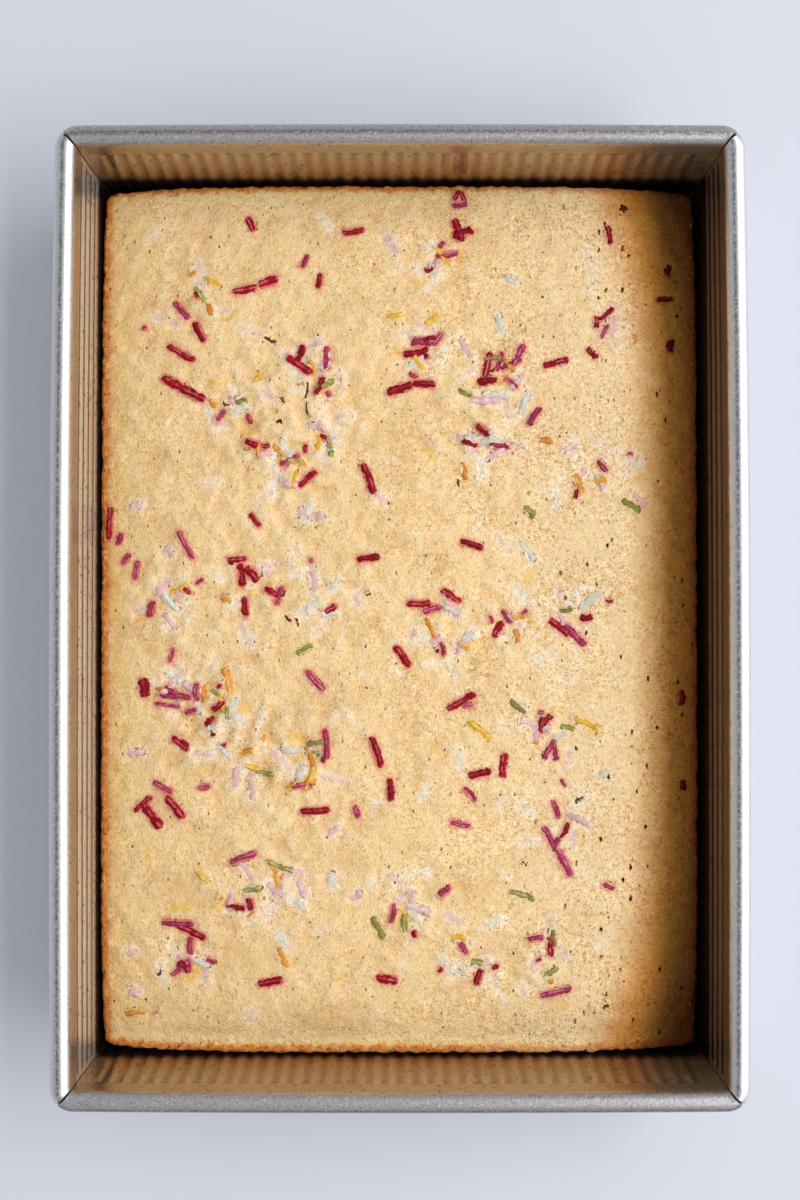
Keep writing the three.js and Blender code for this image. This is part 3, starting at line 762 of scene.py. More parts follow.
# the kinds: how often a scattered sprinkle is of each, its colour, a darker shade and the painted highlight
# line along its back, how far it stands out of the crumb, how much it has spread sideways, and how uneven it
# is
kindValues = ("share", "body", "dark", "line", "rise", "spread", "uneven")
kinds = {name: dict(zip(kindValues, row)) for name, *row in (
    ("crimson", 0.17, colour(178, 14, 34), colour(120, 3, 14), colour(224, 116, 132), 0.5, 1.03, 0.12),
    ("magenta", 0.2, colour(192, 68, 106), colour(138, 28, 62), colour(224, 144, 172), 0.42, 0.88, 0.13),
    ("pink", 0.19, colour(236, 200, 196), colour(222, 172, 166), colour(252, 232, 228), 0.2, 1.3, 0.2),
    ("ice", 0.16, colour(230, 224, 208), colour(208, 204, 182), colour(246, 244, 236), 0.22, 1.25, 0.2),
    ("green", 0.11, colour(176, 170, 92), colour(126, 116, 46), colour(212, 214, 156), 0.38, 1.0, 0.15),
    ("yellow", 0.1, colour(244, 196, 78), colour(222, 160, 48), colour(252, 222, 130), 0.32, 1.02, 0.18),
    ("orange", 0.07, colour(238, 166, 76), colour(206, 122, 44), colour(248, 200, 124), 0.32, 1.02, 0.18),
    ("burnt", 0, colour(124, 60, 26), colour(82, 32, 14), colour(96, 44, 18), 0.12, 1.0, 0.25),
)}


# a repeatable draw between 0 and 1: the state times a constant plus another, kept to 32 bits
def seededDraw(seed):
    state = seed
    while True:
        state = (state * 1664525 + 1013904223) & 0xFFFFFFFF
        yield state / 2 ** 32


def sprinkleList():
    draw = seededDraw(sprinkles["seed"])
    kindDraw = np.random.default_rng(sprinkles["kindSeed"])
    names = list(kinds)
    byLetter = {name[0]: name for name in names}
    shares = np.array([kinds[name]["share"] for name in names])
    rods = []

    def between(low, high):
        return low + (high - low) * next(draw)

    def addGiven(table):
        for kind, rows in table.items():
            rods.extend(dict(zip(("x", "y", "long", "wide", "turn"), row), kind=kind) for row in rows)

    def addSmall(x, y, kind):
        rods.append({"x": x, "y": y, "long": between(*sprinkles["smallLong"]),
                     "wide": between(*sprinkles["smallWide"]), "turn": between(0, 180), "kind": kind})

    addGiven(largeSprinkles)
    for x, y, reach, letters in bunches:
        for letter in letters:
            angle = 2 * math.pi * next(draw)
            away = reach * math.sqrt(next(draw))
            addSmall(x + away * math.cos(angle), y + away * math.sin(angle), byLetter[letter])
    farX = cake["wide"] / 2 - sprinkles["margin"]
    farY = cake["long"] / 2 - sprinkles["margin"]
    for _ in range(sprinkles["scattered"]):
        x = between(-farX, farX)
        addSmall(x, between(-farY, farY), names[kindDraw.choice(len(names), p=shares / shares.sum())])
    addGiven(strays)
    for number in range(sprinkles["specks"]):
        x, y, reach, letters = bunches[number % len(bunches)]
        spread = sprinkles["speckSpread"] * reach
        rods.append({"x": x + spread * kindDraw.normal(), "y": y + spread * kindDraw.normal(),
                     "long": kindDraw.uniform(*sprinkles["speckLong"]),
                     "wide": kindDraw.uniform(*sprinkles["speckWide"]), "turn": kindDraw.uniform(0, 180),
                     "kind": str(kindDraw.choice(sprinkles["speckKinds"]))})
    return rods


# sprinkles that melted away and only stain the crumb
melted = {
    "seed": 77,
    "perBunch": 10,
    "spread": 0.9,           # how far they lie from its middle, in proportion to its reach
    "scattered": 60,
    "farX": 100,             # how far out those lie
    "farY": 152,
    "long": (4.5, 11.0),
    "wide": (2.0, 3.6),
    "faint": 1.1,            # the weakest stain is narrower by this on each side
    "kinds": ["pink", "pink", "pink", "ice", "ice", "cream", "cream", "cream", "yellow", "orange"],
}


def meltedList():
    draw = np.random.default_rng(melted["seed"])
    spread, farX, farY = melted["spread"], melted["farX"], melted["farY"]
    places = [(x + spread * reach * draw.normal(), y + spread * reach * draw.normal())
              for x, y, reach, letters in bunches for _ in range(melted["perBunch"])]
    places += [(draw.uniform(-farX, farX), draw.uniform(-farY, farY)) for _ in range(melted["scattered"])]
    return [{"x": x, "y": y, "long": draw.uniform(*melted["long"]), "wide": draw.uniform(*melted["wide"]),
             "turn": draw.uniform(0, 180), "faint": draw.uniform(0, melted["faint"]),
             "kind": str(draw.choice(melted["kinds"]))} for x, y in places]


# The cake

cake = {
    "wide": 227.0,
    "long": 329.4,
    "corner": 4.0,
    "edge": 19.5,            # height of the top edge
    "crown": 6.0,            # how far the middle rises above the edge
    "crownPower": 4,
    "cornerDrop": 2.5,
    "swell": 0.45,
    "cellsX": 228,
    "cellsY": 330,
    # relief: height, length, number of waves and seed; the larger two grow livelier near the bunches
    "lumps": ((0.26, 12, 40, 11), (0.16, 5, 50, 12)),
    "grains": (0.08, 2.6, 60, 13),
    "calm": 0.6,             # the share of the relief away from them, what a bunch adds and how many times
    "lively": 0.6,
    "livelyMost": 1.6,
    "fullBunch": 5,          # how many sprinkles make a bunch, and how far it is felt beyond its reach
    "bunchMargin": 3,
    "reliefFrom": (0, 8),    # the distances from the side over which the relief sets in
    "lip": 0.2,              # height of the uneven lip by the edge, its distance from it and half its width
    "lipInset": 3.0,
    "lipWide": 1.4,
    "lipLeast": 0.3,         # the share of it that is everywhere, and the waves of the rest
    "lipWaves": (8, 30, 31),
    "pushLeft": 0.75,        # how far each side has risen against its wall, beyond the plain outline
    "pushRight": 0.1,
    "pushNear": 1.2,
    "pushFar": 0.3,
    "pushFrom": (0.9, 0.93), # the shares of its half width and length from which it has
    "pushInset": 6,          # and how far under the edge that ends
    "scallop": 0.12,         # how deep the tin's flutes are printed in the short edges
    "ragged": 0.22,          # unevenness of the edge, and its two waves: share, length in steps, number, seed
    "raggedWaves": ((0.6, 9, 16, 21), (0.5, 3.5, 16, 22)),
    "raggedBack": 1.2,       # how far it lies back, so that it stays off the walls
    "shrinkEnds": 2.4,       # how far the short and the long edges have drawn in at the corners
    "shrinkSides": 1.3,
    "cornerPull": 18.0,      # how much further the right side's painted shade and browning reach in at the corners
    "rounding": 1.8,         # reach of the rounded edge inwards, and downwards
    "roundingDrop": 1.6,
    # rows down the side: inset, and share of the way down to the underside
    "sideRows": ((0.15, 0.2), (0.5, 0.4), (1.1, 0.6), (1.9, 0.8), (3.4, 0.95), (6.0, 1.0)),
    "crustEdge": (1.2, 2.9), # distance from the edge over which the crust ends, and the waves that move it
    "crustWander": 0.4,
    "crustWaves": ((6, 30, 32), (2.5, 40, 33)),
    "lighterCorners": 2.5,     # how much later the long sides' browning sets in at the corners, as painted light where the walls shade them
    "brownEnds": 2.7,        # how many times narrower it is at the ends
}


# the top's height: a crown that falls off with a high power of the distance to each side, long low swells
# that fade with it, and corners that lie lower
def cakeTop(x, y):
    across = np.minimum(np.abs(2 * x / cake["wide"]), 1)
    along = np.minimum(np.abs(2 * y / cake["long"]), 1)
    crown = (1 - across ** cake["crownPower"]) * (1 - along ** cake["crownPower"])
    swell = np.sin(x / 13 + 1.3) * np.sin(y / 17 + 0.4) + 0.6 * np.sin(x / 9 - y / 12)
    drop = cake["cornerDrop"] * (across * along) ** 6
    return cake["edge"] + cake["crown"] * crown + cake["swell"] * crown * swell - drop


# distance from points to the nearest side of the cake
def toSide(x, y):
    return np.minimum(cake["wide"] / 2 - np.abs(x), cake["long"] / 2 - np.abs(y))


# distance from points to the cake's right side, less near the corners, where the painted shade and browning
# reach further in
def distanceRight(x, y):
    return cake["wide"] / 2 - x - cake["cornerPull"] * (2 * y / cake["long"]) ** 4


# the crumb's height: the top with three sizes of smooth random waves, the larger stronger near the bunches
def crumbHeight(x, y):
    bunched = np.zeros_like(x)
    for bunchX, bunchY, reach, letters in bunches:
        away = (x - bunchX) ** 2 + (y - bunchY) ** 2
        bunched += len(letters) / cake["fullBunch"] * np.exp(-away / (2 * (reach + cake["bunchMargin"]) ** 2))
    lively = cake["calm"] + np.clip(bunched, 0, cake["livelyMost"]) * cake["lively"]
    relief = sum(height * lively * waves(x, y, *rest) for height, *rest in cake["lumps"])
    height, *rest = cake["grains"]
    relief = relief + height * waves(x, y, *rest)
    return cakeTop(x, y) + relief * smoothStep(toSide(x, y), *cake["reliefFrom"])


# a point of the unit square carried onto the cake's outline: plain but for the corners, where a square
# becomes a quarter disc: each coordinate is shortened by the root of one less half the other's square
def outlinePoint(u, v, inset):
    radius = cake["corner"]
    farX, farY = cake["wide"] / 2 - inset, cake["long"] / 2 - inset
    x, y = np.abs(u) * farX, np.abs(v) * farY
    s = np.clip((x - farX + radius) / radius, 0, 1)
    t = np.clip((y - farY + radius) / radius, 0, 1)
    x = np.minimum(x, farX - radius) + radius * s * np.sqrt(1 - t ** 2 / 2)
    y = np.minimum(y, farY - radius) + radius * t * np.sqrt(1 - s ** 2 / 2)
    return np.sign(u) * x, np.sign(v) * y


# distance from points to the edge of the nearest of the given rods, at most four millimetres
def rodDistance(x, y, rods):
    nearest = np.full(x.shape, 4.0)
    for rod in rods:
        turn = math.radians(rod["turn"])
        along = (x - rod["x"]) * math.cos(turn) + (y - rod["y"]) * math.sin(turn)
        beside = -(x - rod["x"]) * math.sin(turn) + (y - rod["y"]) * math.cos(turn)
        past = np.maximum(np.abs(along) - (rod["long"] - rod["wide"]) / 2, 0)
        nearest = np.minimum(nearest, np.hypot(past, beside) - rod["wide"] / 2 + rod.get("faint", 0))
    return nearest


# the top is a grid carried onto the outline; its border goes on as rows that round over and run down the
# side, and one face closes the underside
def makeCake(rods, meltedRods, material):
    rounding, drop = cake["rounding"], cake["roundingDrop"]
    v, u = np.meshgrid(np.linspace(-1, 1, cake["cellsY"] + 1), np.linspace(-1, 1, cake["cellsX"] + 1),
                       indexing="ij")
    x, y = outlinePoint(u, v, rounding)
    rows, columns = x.shape
    ring = borderLoop(rows, columns)
    ringU, ringV = u.ravel()[ring], v.ravel()[ring]

    # how far the edge stands out at each point of the border: the flutes' print, raggedness and push
    onEnd = np.abs(ringV) > 0.9999
    scallop = cake["scallop"] * np.cos(2 * np.pi * outlinePoint(ringU, ringV, 0)[0] / tin["pitch"]) * onEnd
    walk = np.arange(len(ring)) * 1.0
    uneven = sum(share * waves(walk, walk * 0, *rest) for share, *rest in cake["raggedWaves"])
    push = scallop + cake["ragged"] * (uneven - cake["raggedBack"])
    fromX, fromY = cake["pushFrom"]
    sideX = np.where(ringU < 0, cake["pushLeft"], cake["pushRight"]) * smoothStep(np.abs(ringU), fromX, 1.0)
    sideY = np.where(ringV < 0, cake["pushNear"], cake["pushFar"]) * smoothStep(np.abs(ringV), fromY, 1.0)

    nearEdge = toSide(x, y)
    lip = cake["lip"] * np.exp(-((nearEdge - cake["lipInset"]) / cake["lipWide"]) ** 2)
    wavered = np.abs(waves(x, y, *cake["lipWaves"]))
    z = crumbHeight(x, y) + lip * (cake["lipLeast"] + (1 - cake["lipLeast"]) * wavered)
    points = [np.stack([x.ravel(), y.ravel(), z.ravel()], axis=-1)]
    wandering = nearEdge + sum(cake["crustWander"] * waves(x, y, *rest) for rest in cake["crustWaves"])
    crust = 1 - smoothStep(wandering, *cake["crustEdge"]).ravel()

    ringZ = z.ravel()[ring]
    turned = np.radians(np.linspace(0, 90, 7))[1:]
    stops = [(rounding * (1 - math.sin(t)), drop * (1 - math.cos(t)), 0.0) for t in turned]
    stops += [(inset, drop, fall) for inset, fall in cake["sideRows"]]
    for inset, lowered, fall in stops:
        ringX, ringY = outlinePoint(ringU, ringV, inset)
        kept = min(max(1 - inset / cake["pushInset"], 0), 1)
        ringX = ringX + kept * np.sign(ringU) * (sideX + np.where(onEnd, 0, push))
        ringY = ringY + kept * np.sign(ringV) * (sideY + np.where(onEnd, push, 0))
        level = (ringZ - lowered) * (1 - fall) + cakeFoot * fall
        points.append(np.stack([ringX, ringY, level], axis=-1))
    chains = [ring] + [rows * columns + k * len(ring) + np.arange(len(ring)) for k in range(len(stops))]
    side = [np.stack([lower, np.roll(lower, -1), np.roll(upper, -1), upper], axis=-1)
            for upper, lower in zip(chains[:-1], chains[1:])]
    faces = np.concatenate([rowFaces(rows, columns)] + side).tolist() + [chains[-1][::-1].tolist()]
    points = np.concatenate(points)
    flatX, flatY = points[:, 0].copy(), points[:, 1].copy()
    across, along = 2 * flatX / cake["wide"], 2 * flatY / cake["long"]
    points[:, 0] -= cake["shrinkSides"] * across * along ** 6
    points[:, 1] -= cake["shrinkEnds"] * along ** 3 * across ** 4
    piece = makePiece("cakeCrumb", points, faces, material, "cake")

    # the browning reaches further in along the long sides than at the ends
    # painted light: the browning is held back near the corners, which the walls shade
    toLongSide = cake["wide"] / 2 - np.abs(flatX) + cake["lighterCorners"] * along ** 8
    toEnd = cake["brownEnds"] * (cake["long"] / 2 - np.abs(flatY))
    addValues(piece, crust=np.concatenate([crust, np.ones(len(points) - len(crust))]),
              toBrown=np.minimum(toLongSide, toEnd), toRight=distanceRight(flatX, flatY),
              relief=points[:, 2] - cakeTop(flatX, flatY), nearAny=rodDistance(flatX, flatY, rods))
    for name, members in crumbLook["stainedBy"].items():
        chosen = [rod for rod in rods + meltedRods if rod["kind"] in members]
        addValues(piece, **{name: rodDistance(flatX, flatY, chosen)})


crumbLook = {
    # colours by the distance to the edge; the reach of both of these ramps is given below in millimetres
    "browning": [(0.0, colour(206, 116, 44)), (0.06, colour(216, 136, 62)), (0.11, colour(222, 156, 86)),
                 (0.17, colour(230, 186, 118)), (0.29, colour(241, 208, 143)), (0.5, colour(246, 215, 154)),
                 (1.0, colour(252, 217, 159))],
    # what it is darkened by on the right side, painted shade and browning, by the distance to that side
    "rightShadeAndBrowning": [(0.0, (0.12, 0.05, 0.01, 1)), (0.25, (0.28, 0.15, 0.045, 1)), (0.35, (0.41, 0.23, 0.06, 1)),
                  (0.4, (0.47, 0.27, 0.07, 1)), (0.5, (0.59, 0.34, 0.11, 1)), (0.6, (0.71, 0.46, 0.22, 1)),
                  (0.7, (0.79, 0.59, 0.42, 1)), (0.82, (0.91, 0.82, 0.72, 1)), (0.95, (1.0, 1.0, 1.0, 1))],
    "brownReach": (0, 25),
    "rightReach": (-10, 30),
    "wander": 6.0,                       # how far blotches move both of those, and the blotches
    "wanderNoise": (7, 4),
    "deep": colour(226, 186, 124),
    "cream": colour(252, 224, 180),
    "toast": colour(226, 168, 98),
    "crust": colour(222, 132, 54),
    "paleCrust": colour(244, 182, 108),
    "darkCrust": colour(120, 58, 22),
    "pore": colour(186, 140, 66),
    "pit": colour(108, 50, 8),
    "burntPit": colour(44, 14, 2),
    "crack": colour(104, 52, 18),
    "redStain": colour(230, 142, 126),
    "deepRedStain": colour(206, 84, 80),
    "pinkStain": colour(236, 196, 186),
    "iceStain": colour(236, 230, 212),
    "creamStain": colour(255, 234, 202),
    "goldStain": colour(246, 200, 100),
    "greenStain": colour(214, 204, 130),
    "hollowTint": (0.7, 0.54, 0.31, 1),  # painted shade and painted highlight: what the grain's low and high places are multiplied by
    "raisedTint": (1.2, 1.28, 1.55, 1),
    # spots: size in millimetres, where the noise starts and fills them, strength, detail, roughness and least
    "blotches": {"deep": (18, 0.4, 0.7, 0.6, 4), "cream": (4.5, 0.52, 0.75, 0.45, 4),
                 "toast": (6, 0.62, 0.8, 0.5, 3, 0.5)},
    "paleCrustSpots": (2.4, 0.5, 0.62),
    "darkCrustSpots": (1.2, 0.5, 0.68, 1.0, 4, 0.65),
    "sandy": (16, 0.38, 0.62, 1.0, 3, 0.5, 0.5),
    "crackGaps": (2.2, 0.57, 0.63),
    # painted highlight on raised crumb and painted shade in sunk crumb: relief in millimetres from where the
    # crumb changes colour to where it has done so, and how much it does
    "raisedTone": (0.08, 0.5, 0.0, 0.55),
    "sunkTone": (-0.08, -0.55, 0.0, 0.28),
    # places across and along in millimetres: where cream starts and fills, and the painted light that
    # brightens the crumb
    "creamX": ((10, 80), 0.0, 0.35),
    "sandyX": ((-30, 50), 0.6, 1.0),
    "burntX": (10, 80),
    "paintedLightX": ((-90, 80), 1.0, 1.08),
    "paintedLightY": ((-156, -163), 1.0, 1.35),
    "crustZ": (18, 12),                  # heights over which the crust darkens down the side
    # holes: spacing in millimetres, the distances in cells where one is full and where it ends,
    # and the share of cells that have none
    "fine": (1.1, 0.1, 0.35, 0.55),
    "pores": (2.4, 0.06, 0.2, 0.5),
    "pits": (3.4, 0.05, 0.155, 0.5),
    "burntPits": (5.2, 0.07, 0.17, 0.4),
    "grain": (1.6, 0.75, 0.6, 1.0, 0.8),
    "stainedBy": {"nearRed": ("crimson", "magenta"), "nearPink": ("pink",), "nearIce": ("ice",),
                  "nearCream": ("cream",), "nearGold": ("yellow", "orange"), "nearGreen": ("green",)},
    # stains: by the distance to which sprinkles, the distances where one starts and where it is full,
    # its strength, its colour and how ragged it is
    "stains": [("nearPink", 3.2, 0.2, 0.55, "creamStain", 1.0), ("nearIce", 3.2, 0.2, 0.5, "creamStain", 1.0),
               ("nearCream", 1.2, -0.8, 0.8, "creamStain", 1.0),
               ("nearGold", 1.1, -0.5, 0.75, "goldStain", 1.0),
               ("nearGreen", 0.9, 0.0, 0.6, "greenStain", 1.0), ("nearIce", 0.5, -0.7, 0.85, "iceStain", 1.0),
               ("nearPink", 0.6, -0.7, 0.85, "pinkStain", 1.0), ("nearRed", 2.4, -0.4, 0.8, "redStain", 2.2),
               ("nearRed", 0.8, 0.1, 0.6, "deepRedStain", 0.6)],
    "fringeNoise": (2.2, 4, 0.65),
    "fringe": (3.6, -1.75),              # by what that noise is multiplied and moved
    # the swirl that warps the holes: size, reach, and how they are stretched
    "swirl": 0.9,
    "swirlReach": 1.5,
    "holeStretch": (1.15, 0.55, 1.0),
    "fineShare": 0.35,                   # how much fine holes and pores are coloured
    "poreShare": 0.8,
    "hollowLevels": (0.5, 0.36),         # the grain's values that count as low and as high
    "raisedLevels": (0.52, 0.62),
    "crackAt": 0.35,                     # painted shade in a crack: its distance from a sprinkle, its reach and its strength
    "crackReach": (0.4, 0.15),
    "crackShare": 0.85,
    "sunkFine": 0.5,                     # how deep fine holes and pits are beside pores
    "sunkPits": 0.8,
    "lipReach": (1.6, 0.3),              # the crumb that rises beside a sprinkle: reach, blotches, height
    "lipNoise": 2.5,
    "lipRise": 2.4,
    "bumpStrength": 0.6,
    "bumpDepth": 0.25,
    "roughness": 0.7,
    "gloss": 0.2,
}


def makeCrumbMaterial():
    look = crumbLook
    material, steps, shader = newPattern("goldenCrumb")
    times, mix, remap, between = steps.times, steps.mix, steps.remap, steps.between
    wander = steps.timesPlus(steps.noise(*look["wanderNoise"]), look["wander"], -look["wander"] / 2)
    place = steps.axes()

    def rampBy(name, low, high, stops):
        ramp = steps.tree.nodes.new("ShaderNodeValToRGB")
        while len(ramp.color_ramp.elements) < len(stops):
            ramp.color_ramp.elements.new(0.5)
        for element, (position, tone) in zip(ramp.color_ramp.elements, stops):
            element.position = position
            element.color = tone
        away = steps.math("ADD", steps.attribute(name), wander)
        steps.fill(ramp, {"Fac": steps.timesPlus(away, 1 / (high - low), -low / (high - low))})
        return ramp.outputs["Color"]

    tone = rampBy("toBrown", *look["brownReach"], look["browning"])
    for name, pattern in look["blotches"].items():
        tone = mix(steps.spots(*pattern), tone, look[name])
    relief = steps.attribute("relief")
    # painted highlight on raised crumb and painted shade in sunk crumb
    tone = mix(remap(relief, *look["raisedTone"]), tone, look["cream"])
    tone = mix(remap(relief, *look["sunkTone"]), tone, look["toast"])
    fringe = steps.timesPlus(steps.noise(*look["fringeNoise"]), *look["fringe"])
    for name, far, near, strength, stain, raggedness in look["stains"]:
        away = steps.timesPlus(fringe, raggedness, steps.attribute(name))
        tone = mix(remap(away, far, near, 0.0, strength), tone, look[stain])
    crustTone = mix(steps.spots(*look["paleCrustSpots"]), look["crust"], look["paleCrust"])
    crustTone = mix(steps.spots(*look["darkCrustSpots"]), crustTone, look["darkCrust"])
    crustTone = mix(between(place["Z"], look["crustZ"]), crustTone, look["darkCrust"])
    tone = mix(steps.attribute("crust"), tone, crustTone)
    tone = mix(between(place["X"], *look["creamX"]), tone, look["cream"])
    # painted shade and browning towards the right side
    tone = mix(1.0, tone, rampBy("toRight", *look["rightReach"], look["rightShadeAndBrowning"]), "MULTIPLY")
    # painted light: the crumb is brightened towards the right and at the near edge
    paintedLight = times(between(place["X"], *look["paintedLightX"]), between(place["Y"], *look["paintedLightY"]))
    tone = steps.add("VectorMath", {0: tone, "Scale": paintedLight}, operation="SCALE").outputs[0]

    swirl = steps.add("TexNoise", {"Vector": steps.point, "Scale": 1 / (look["swirl"] * mm), "Detail": 2.0})
    swirled = steps.add("VectorMath", operation="MULTIPLY_ADD",
                        inputs={0: swirl.outputs["Color"], 1: (look["swirlReach"] * mm,) * 3, 2: steps.point})
    longer = steps.add("Mapping", {"Vector": swirled.outputs[0], "Scale": look["holeStretch"]})

    # holes of one size: a spot in some cells of a warped random pattern, longer along the cake than across
    def holes(spacing, full, end, none):
        cell = steps.add("TexVoronoi", {"Vector": longer.outputs["Vector"], "Scale": 1 / (spacing * mm)})
        chance = steps.add("SeparateColor", {"Color": cell.outputs["Color"]}).outputs["Red"]
        return times(remap(cell.outputs["Distance"], end, full), remap(chance, none, none + 0.02))

    fine, pores, pits = (holes(*look[name]) for name in ("fine", "pores", "pits"))
    burntPits = times(holes(*look["burntPits"]), between(place["X"], look["burntX"]))
    grain = steps.grain(*look["grain"])
    sandy = times(steps.spots(*look["sandy"]), between(place["X"], *look["sandyX"]))
    # painted shade in the grain's low places and painted highlight on its high ones, stronger towards the
    # right
    for name in ("hollow", "raised"):
        share = times(remap(grain["Value"], *look[name + "Levels"]), sandy)
        tone = steps.tint(share, tone, look[name + "Tint"])
    tone = mix(times(fine, look["fineShare"]), tone, look["pore"])
    tone = mix(times(pores, look["poreShare"]), tone, look["pore"])
    tone = mix(pits, tone, look["pit"])
    tone = mix(burntPits, tone, look["burntPit"])

    # painted shade in cracks along the sprinkles' edges, and the crumb that rises beside them
    near = steps.attribute("nearAny")
    fromCrack = steps.math("ABSOLUTE", steps.math("SUBTRACT", near, look["crackAt"]))
    cracks = times(remap(fromCrack, *look["crackReach"]), steps.spots(*look["crackGaps"]))
    tone = mix(times(cracks, look["crackShare"]), tone, look["crack"])
    sunk = steps.math("ADD", times(fine, look["sunkFine"]), pores)
    sunk = steps.math("MAXIMUM", sunk, times(pits, look["sunkPits"]))
    lip = times(remap(near, *look["lipReach"]), steps.noise(look["lipNoise"]))
    sunk = steps.math("SUBTRACT", sunk, times(lip, look["lipRise"]))
    bump = steps.add("Bump", invert=True, inputs={
        "Strength": look["bumpStrength"], "Distance": look["bumpDepth"] * mm, "Height": sunk,
        "Normal": grain["Normal"]})
    gloss = steps.timesPlus(steps.math("MAXIMUM", pits, burntPits), -look["gloss"], look["gloss"])
    steps.fill(shader, {"Base Color": tone, "Normal": bump.outputs["Normal"], "Roughness": look["roughness"],
                        "Specular IOR Level": gloss})
    return material


# The sprinkles

# rods: an ellipse carried along a bent line that follows the crumb; its width closes at both ends like a
# superellipse and wavers along the way, on each flank by its own sine waves, and randomly at each point
def makeSprinkles(kind, rods, material):
    look = kinds[kind]
    uneven, halfTall = look["uneven"], sprinkles["half"]
    draw = np.random.default_rng(list(kinds).index(kind) + sprinkles["shapeSeed"])
    count = len(rods)

    def column(key):
        return np.asarray([rod[key] for rod in rods], float)[:, None, None]

    half = column("long") / 2
    wide = column("wide") / 2 * look["spread"]
    turn = np.radians(column("turn"))
    along = np.array(sprinkles["stops"])[None, :, None]
    around = np.linspace(0, 2 * np.pi, sprinkles["sides"] + 1)[:-1][None, None, :]
    closing = (1 - np.abs(along) ** sprinkles["endPower"]) ** 0.5 + sprinkles["endLeft"]

    def waver(pace, share):
        pace = draw.uniform(*sprinkles["paceSpread"], (count, 1, 2)) * pace
        flank = np.where(np.cos(around) > 0, 1, 0)
        start = draw.uniform(0, 6, (count, 1, 2))
        both = np.sin(along * pace[..., :1] + start[..., :1]) * flank
        return share * (both + np.sin(along * pace[..., 1:] + start[..., 1:]) * (1 - flank))

    # a place at so much along a rod and beside it
    def placed(lengthways, sideways):
        return (column("x") + lengthways * np.cos(turn) - sideways * np.sin(turn),
                column("y") + lengthways * np.sin(turn) + sideways * np.cos(turn))

    torn = draw.normal(0, uneven, (count, along.size, around.size))
    torn = np.clip(torn, -sprinkles["tornMost"], sprinkles["tornMost"])
    wavered = waver(*sprinkles["waverSlow"]) + waver(*sprinkles["waverFast"])
    girth = wide * closing * (sprinkles["narrowed"] + uneven * wavered + torn)
    tall = halfTall * closing * (1 + uneven * waver(*sprinkles["waverTall"]))
    bend = draw.uniform(-sprinkles["bend"], sprinkles["bend"], (count, 1, 1)) * (1 - along ** 2)
    bend = bend * (1 + sprinkles["bendUneven"] * uneven)
    beside = girth * np.cos(around)
    slant = draw.uniform(-sprinkles["skew"], sprinkles["skew"], (count, 1, 2))
    slant = np.where(along > 0, slant[..., :1], slant[..., 1:]) * beside * along ** 8
    x, y = placed(half * along + slant, bend + beside)
    rise = look["rise"] + draw.uniform(*sprinkles["riseSpread"], (count, 1, 1))
    z = crumbHeight(*placed(half * along, bend)) + rise - halfTall + tall * np.sin(around)
    points = np.stack([x, y, z + 0 * x], axis=-1)
    rings, sides = along.size, around.size
    start = (np.arange(count) * rings * sides)[:, None, None]
    quads = (rowFaces(rings, sides, closed=True)[None] + start).reshape(-1, 4)
    capNear = (np.arange(sides)[::-1][None] + start[:, 0]).tolist()
    capFar = (np.arange(sides)[None] + start[:, 0] + (rings - 1) * sides).tolist()
    faces = quads.tolist() + capNear + capFar
    piece = makePiece("sprinkles" + kind.capitalize(), points.reshape(-1, 3), faces, material, "cake")
    addValues(piece, shade=np.repeat(draw.uniform(0, 1, count), rings * sides), toRight=distanceRight(x, y),
              upness=np.broadcast_to(np.sin(around) * closing, x.shape),
              across=np.broadcast_to(np.cos(around) * np.ones_like(along), x.shape))


skinLook = {
    "crumb": colour(240, 204, 154),      # what clings to the flanks
    "rightShade": (0.3, 0.2, 0.15, 1),      # painted shade: what a sprinkle is multiplied by near the cake's right side
    "rightShadeFrom": (20, 7),              # the distances to that side over which it sets in
    "roughness": 0.5,
    "gloss": 0.12,
    "shade": (0.0, 1.0, 0.35, 1.0),      # from each sprinkle's own number to how much it has its full colour
    "darkSpots": (1.5, 0.4, 0.62, 0.7),
    "flank": (0.55, 0.9, 0.0, 0.6),      # painted shade: where the flanks darken, and how much
    "lineAt": 0.15,                      # the place of the painted highlight line across the back, its reach and gaps
    "lineReach": (0.34, 0.1),
    "lineGaps": (2.6, 0.42, 0.6),
    "lineShade": (0.2, 0.8, 0.2, 1.0),
    "crumbNoise": 1.1,                   # blotches of the clinging crumb, their reach, and its levels
    "crumbWander": 1.8,
    "crumbLevels": (0.4, 0.1),
    "grain": (1.2, 0.5, 0.4, 0.4, 0.12),
}


